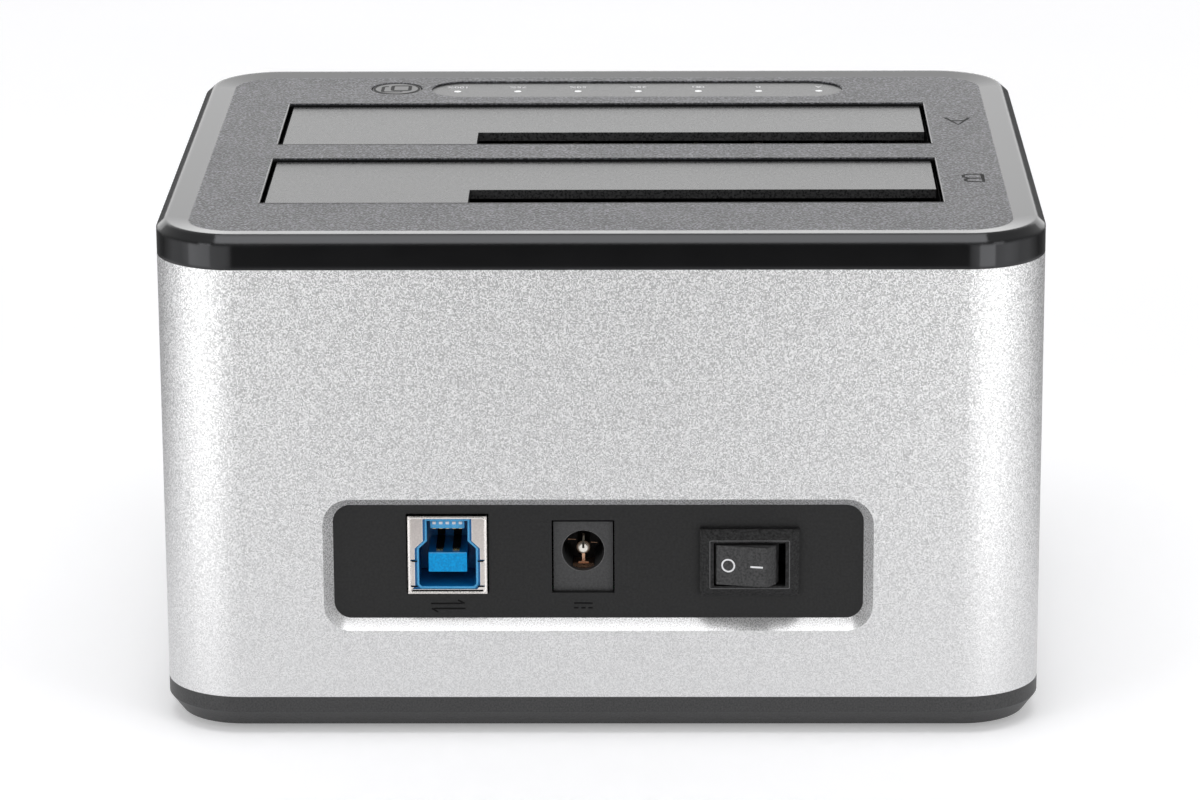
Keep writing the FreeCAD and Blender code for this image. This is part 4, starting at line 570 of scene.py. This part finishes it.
def dress_jack():
    low, high = (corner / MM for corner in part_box("dc_jack_housing"))
    x, face, hole = (low.x + high.x) / 2, low.y, middle_mm("dc_centre_pin").z
    # Painted highlight: a light grey ring round the mouth of the jack.
    stroke("dc_mouth_painted_highlight", [(ring_points(3.26, 48), True)], 0.14, 0.05,
           front_at(x, face, hole), "jack_black", finish_name="painted_highlight_grey")
    inside = front_at(x, face + 3.2, hole)
    plate("dc_front_contact", [[(-0.3, -2.9), (0.3, -2.9), (0.22, -0.9), (-0.22, -0.9)]], 0.3,
          inside, "contact_copper", edge=0.08)
    plate("dc_contact_foot", [rounded((-0.85, -2.95), (0.85, -2.62), 0.12)], 0.5, inside,
          "contact_copper", edge=0.08)
    stroke("dc_spring_edges", [([(-2.4, 0.36), (-1.15, 0.32)], False),
                               ([(1.1, -0.1), (2.1, -0.2)], False),
                               ([(-1.55, 2.45), (-1.35, 1.95)], False),
                               ([(1.2, 2.45), (1.3, 1.95)], False)], 0.13, 0.06,
           front_at(x, face + 4.5, hole), "contact_copper")


def dress_switch():
    low, high = (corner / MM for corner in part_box("switch_housing"))
    bevel, fall = 1.5, 1.1
    # Painted highlights: light grey lines along the bezel's inner and outer edges.
    for name, inset, back in (("bezel_inner_painted_highlight", bevel, 0), ("bezel_outer_painted_highlight", 0.1, fall)):
        corners = (low.x + inset, low.z + inset), (high.x - inset, high.z - inset)
        stroke(name, [(rounded(*corners, 0.15, 2), True)], 0.14, 0.03,
               front_at(0, low.y + back, 0), "switch_black", finish_name="painted_highlight_grey")

    # The marks lie on the rocker's widest face, measured from its left edge.
    rocker = nodes["rocker"].data
    face = max((p for p in rocker.polygons if p.normal.y < -0.9), key=lambda p: p.area)
    corner = min((rocker.vertices[k].co for k in face.vertices), key=lambda co: co.x) / MM
    up = Vector((0, 0, 1))
    along = up.cross(face.normal)
    start = Vector((corner.x, corner.y, (low.z + high.z) / 2))
    stroke("rocker_off_ring", [(ring_points(0.94, 40), True)], 0.27, 0.03,
           place(start + along * 1.78, along, up), "rocker_black", "rocker", "print_white")
    plate("rocker_on_dash", [rounded((-0.95, -0.14), (0.95, 0.14), 0.05)], 0.03,
          place(start + along * 6.15, along, up), "rocker_black", "rocker", "print_white")


def dress_top():
    button_low, button_high = (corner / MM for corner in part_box("copy_button"))
    strip_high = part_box("lights_strip")[1] / MM
    bx, by = (button_low.x + button_high.x) / 2, (button_low.y + button_high.y) / 2
    on_button = top_at(bx, by, button_high.z)
    stroke("button_icon_front", [(rounded((-2.2, -2.1), (0.7, 1.3), 0.4), True)], 0.6, 0.02,
           on_button, "button_grey", "copy_button", "ink_and_gap_shade_grey")
    stroke("button_icon_back", [([(-0.9, 2.0), (-0.7, 2.3), (1.9, 2.3), (2.3, 1.95),
                                  (2.3, -1.2), (1.9, -1.55), (1.4, -1.55)], False)], 0.6, 0.02,
           on_button, "button_grey", "copy_button", "ink_and_gap_shade_grey")
    # Painted shade: a dark ring on the button's face, for the shaded gap round the button.
    stroke("button_gap_painted_shade", [(ring_points(3.72, 56), True)], 0.4, 0.02, on_button, "button_grey",
           "copy_button", "ink_and_gap_shade_grey")
    first, pitch = -24.9, 10.04
    labels = ("100%", "75%", "50%", "25%", None, "B", "A")
    for k, label in enumerate(labels):
        at = top_at(first + pitch * k, strip_high.y - 3.25, strip_high.z + 0.01)
        if label:
            lettering(f"light_label_{k + 1}", label, 1.2, 0.02, at, "strip_grey",
                      finish_name="print_white")
        else:
            stroke("light_label_5", [(rounded((-0.9, -0.45), (0.2, 0.5), 0.15), True),
                                     (rounded((-0.3, -0.6), (0.9, 0.3), 0.15), True)], 0.2,
                   0.02, at, "strip_grey", finish_name="print_white")
    grained = TOP / MM
    stroke("bay_mark_a", [([(-1.95, -2.5), (0, 2.5), (1.95, -2.5)], False),
                          ([(-1.0, -0.3), (1.0, -0.3)], False)], 0.6, 0.02,
           top_at(57.2, 19.2, grained), "cover_black", finish_name="ink_and_shade_dark")
    stroke("bay_mark_b", [([(-1.4, -2.4), (-1.4, 2.4), (0.6, 2.4), (1.3, 1.9), (1.3, 0.7),
                            (0.6, 0.15), (-1.4, 0.15)], False),
                          ([(0.6, 0.15), (1.55, -0.5), (1.55, -1.8), (0.7, -2.4),
                            (-1.4, -2.4)], False)], 0.62, 0.02,
           top_at(57.6, -19.0, grained), "cover_black", finish_name="ink_and_shade_dark")


def dress_slots():
    """Bright broken edge of the plate round each bay's door."""
    at = place((0, 0, TOP / MM), (1, 0, 0), (0, 1, 0))
    outside = 0.1
    for number, (near, far) in enumerate(BAY_EDGES):
        edge = rounded((-BAY_HALF_WIDTH - outside, near - outside),
                       (BAY_HALF_WIDTH + outside, far + outside), 0.2, 3)
        stroke(f"slot_edge_{number + 1}", [(edge, True)], 0.22, 0.04, at, "cover_black",
               finish_name="slot_gloss")


def dress_panel():
    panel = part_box("io_panel")[0].y / MM
    usb, jack = middle_mm("usb_shell").x, middle_mm("dc_jack_housing").x
    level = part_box("usb_shell")[0].z / MM - 2.15
    stroke("data_symbol", [([(-2.6, 0.4), (2.2, 0.4)], False), ([(1.5, 0.95), (2.5, 0.4)], False),
                           ([(2.6, -0.4), (-2.2, -0.4)], False),
                           ([(-1.5, -0.95), (-2.5, -0.4)], False)], 0.26, 0.02,
           front_at(usb, panel, level), "panel_black", finish_name="ink_and_shade_dark")
    stroke("direct_current_symbol", [([(-1.4, 0.45), (1.4, 0.45)], False),
                                     ([(-1.4, -0.3), (-0.75, -0.3)], False),
                                     ([(-0.32, -0.3), (0.32, -0.3)], False),
                                     ([(0.75, -0.3), (1.4, -0.3)], False)], 0.26, 0.02,
           front_at(jack, panel, level), "panel_black", finish_name="ink_and_shade_dark")


def dress_button_spring():
    """Return spring of round wire."""
    low, high = (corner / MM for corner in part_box("button_spring"))
    wire, turns, steps = 0.35, 3, 40
    radius = (high.x - low.x - wire) / 2
    middle = ((low.x + high.x) / 2, (low.y + high.y) / 2)
    rise = high.z - low.z - wire
    curve = bpy.data.curves.new("button_return_spring", "CURVE")
    curve.dimensions = "3D"
    curve.bevel_depth, curve.bevel_resolution, curve.use_fill_caps = wire / 2 * MM, 2, True
    spline = curve.splines.new("POLY")
    spline.points.add(turns * steps)
    for k, point in enumerate(spline.points):
        angle = 2 * math.pi * k / steps
        point.co = (radius * math.cos(angle) * MM, radius * math.sin(angle) * MM,
                    rise * k / (turns * steps) * MM, 1)
    at = Matrix.Translation(Vector((*middle, low.z + wire / 2)) * MM)
    spring = settle(bpy.data.objects.new("button_return_spring", curve), at, "spring_steel",
                    "root")
    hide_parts("button_spring")
    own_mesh(spring)


def dress_screws():
    low, high = (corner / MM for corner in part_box("case_screws"))
    head = 2.7
    spots = [(sx * (high.x - head), sy * (high.y - head)) for sx in (-1, 1) for sy in (-1, 1)]
    for number, (x, y) in enumerate(spots):
        at = place((x, y, low.z), (1, 0, 0), (0, -1, 0))
        arm, rib = 1.25, 0.28
        cross = [(arm, rib), (rib, rib), (rib, arm), (-rib, arm), (-rib, rib), (-arm, rib),
                 (-arm, -rib), (-rib, -rib), (-rib, -arm), (rib, -arm), (rib, -rib), (arm, -rib)]
        # Painted shade: a dark cross for each head's cross recess.
        plate(f"screw_recess_{number + 1}", [cross], 0.03, at, "screw_steel",
              finish_name="ink_and_shade_dark")


dress_usb()
dress_jack()
dress_switch()
dress_top()
dress_slots()
dress_panel()
dress_screws()
dress_button_spring()


# ------------------------------------------------------------------ studio and camera

SKY_LEVEL = 0.55
FLOOR_LIFT = 0.29
BACKDROP = (0.8, 0.8, 0.8, 1)
# Name, place and aim in metres, width, height, watts.
LAMPS = (
    ("left_softbox", (-0.80, -0.85, 0.40), (-0.03, 0, 0.02), 0.36, 0.40, 1.9),
    ("right_softbox", (0.85, -0.80, 0.40), (0.03, 0, 0.02), 0.30, 0.40, 1.55),
    ("left_card", (-0.198, -0.161, 0.028), (-0.06, -0.045, 0.06), 0.11, 0.05, 0.020),
    ("right_card", (0.140, -0.200, 0.028), (0.06, -0.045, 0.06), 0.07, 0.05, 0.024),
    ("top_softbox", (0.0, -0.18, 1.05), (0, 0, 0.05), 0.75, 0.4, 3.2),
    ("back_softbox", (0.0, 1.60, 0.55), (0, 0, 0.08), 2.4, 0.9, 5.6),
)


def area_lamp(name, spot, target, width, height, power):
    data = bpy.data.lights.new(name, "AREA")
    data.shape, data.size, data.size_y, data.energy = "RECTANGLE", width, height, power
    lamp = bpy.data.objects.new(name, data)
    lamp.location = spot
    lamp.rotation_euler = (Vector(target) - Vector(spot)).to_track_quat("-Z", "Y").to_euler()
    bpy.context.scene.collection.objects.link(lamp)
    return lamp


def make_studio():
    """Pale world, plain for light and a little darker toward the camera in reflections."""
    world = bpy.data.worlds.new("studio")
    bpy.context.scene.world = world
    world.use_nodes = True
    made = Tree(world.node_tree)
    made.tree.nodes.clear()
    path = made.node("ShaderNodeLightPath").outputs
    x, y, z = made.axes(made.node("ShaderNodeTexCoord").outputs["Generated"])
    walls = made.product(made.span(y, -0.9, -0.2, 0.4, 1.0),
                         made.span(made.math("ABSOLUTE", x), 0.4, 0.9, 1.0, 0.6))
    seen, light = made.node("ShaderNodeBackground"), made.node("ShaderNodeBackground")
    seen.inputs["Color"].default_value = BACKDROP
    made.link(made.math("MAXIMUM", walls, path["Is Camera Ray"]), seen.inputs["Strength"])
    light.inputs["Color"].default_value = (1, 1, 1, 1)
    light.inputs["Strength"].default_value = SKY_LEVEL
    mirrored = made.math("MAXIMUM", path["Is Glossy Ray"], path["Is Transmission Ray"])
    mixed = made.node("ShaderNodeMixShader")
    made.link(made.math("MAXIMUM", path["Is Camera Ray"], mirrored), mixed.inputs[0])
    made.link(light.outputs[0], mixed.inputs[1])
    made.link(seen.outputs[0], mixed.inputs[2])
    made.link(mixed.outputs[0], made.node("ShaderNodeOutputWorld").inputs[0])
    make_floor()
    for lamp in LAMPS:
        area_lamp(*lamp)


def make_floor():
    """Pale floor that keeps the shadow, with painted light and painted shade seen in reflections.
    """
    data = bpy.data.meshes.new("studio_floor")
    mesh = bmesh.new()
    bmesh.ops.create_circle(mesh, cap_ends=True, segments=64, radius=4.0)
    mesh.to_mesh(data)
    mesh.free()
    floor = bpy.data.objects.new("studio_floor", data)
    bpy.context.scene.collection.objects.link(floor)
    made = finish("floor_white", grey(0.80), grey(0.84), 3 * MM, 0.0, (0.7, 0.8), wear=0.3,
                  specular=0.1)
    path = made.node("ShaderNodeLightPath").outputs
    mirrored = made.math("MAXIMUM", path["Is Glossy Ray"], path["Is Transmission Ray"])
    x, y, z = made.axes(made.place)

    # Painted shade, seen only in reflections: darker far in front of the case and behind it.
    near = made.span(y, -0.36, -0.12)
    painted_shade_far = made.math("MAXIMUM", made.math("SUBTRACT", 1.0, near), made.span(y, 0.0, 0.12))
    pale = made.shader.inputs["Base Color"].links[0].from_socket
    made.base(made.colours(made.product(mirrored, painted_shade_far), pale, grey(0.12)))

    # Painted light, seen only in reflections: right in front of the case, and more at its two
    # front corners.
    painted_light_ahead = made.product(near, made.span(y, -0.06, 0.06, 1.0, 0.0), 0.32)
    painted_light_beside = made.product(made.span(made.math("ABSOLUTE", x), 0.08, 0.13), 1.3,
                          made.span(y, -0.19, -0.09, 1.0, 0.06),
                          made.span(y, -0.07, 0.0, 1.0, 0.0))
    glow = made.math("ADD", made.product(path["Is Camera Ray"], FLOOR_LIFT),
                     made.product(mirrored, made.math("ADD", painted_light_ahead, painted_light_beside)))
    made.shader.inputs["Emission Color"].default_value = (1, 1, 1, 1)
    made.link(glow, made.shader.inputs["Emission Strength"])
    data.materials.append(made.material)


def make_camera():
    """A long lens in front of the sockets, a little above, looking down."""
    yaw, pitch, roll = (math.radians(angle) for angle in (-0.788, 16.452, -0.281))
    forward = Vector((math.sin(yaw) * math.cos(pitch), math.cos(yaw) * math.cos(pitch),
                      -math.sin(pitch)))
    level = Vector((math.cos(yaw), -math.sin(yaw), 0))
    upright = level.cross(forward)
    right = math.cos(roll) * level + math.sin(roll) * upright
    up = -math.sin(roll) * level + math.cos(roll) * upright
    data = bpy.data.cameras.new("camera")
    data.lens, data.sensor_width = 152.84, 36.0
    data.clip_start, data.clip_end = 0.01, 20.0
    camera = bpy.data.objects.new("camera", data)
    spin = Matrix((right, up, -forward)).transposed().to_4x4()
    camera.matrix_world = Matrix.Translation((0.010011, -0.787425, 0.269163)) @ spin
    bpy.context.scene.collection.objects.link(camera)
    bpy.context.scene.camera = camera


make_camera()
make_studio()
bpy.context.scene.view_settings.view_transform = "Standard"
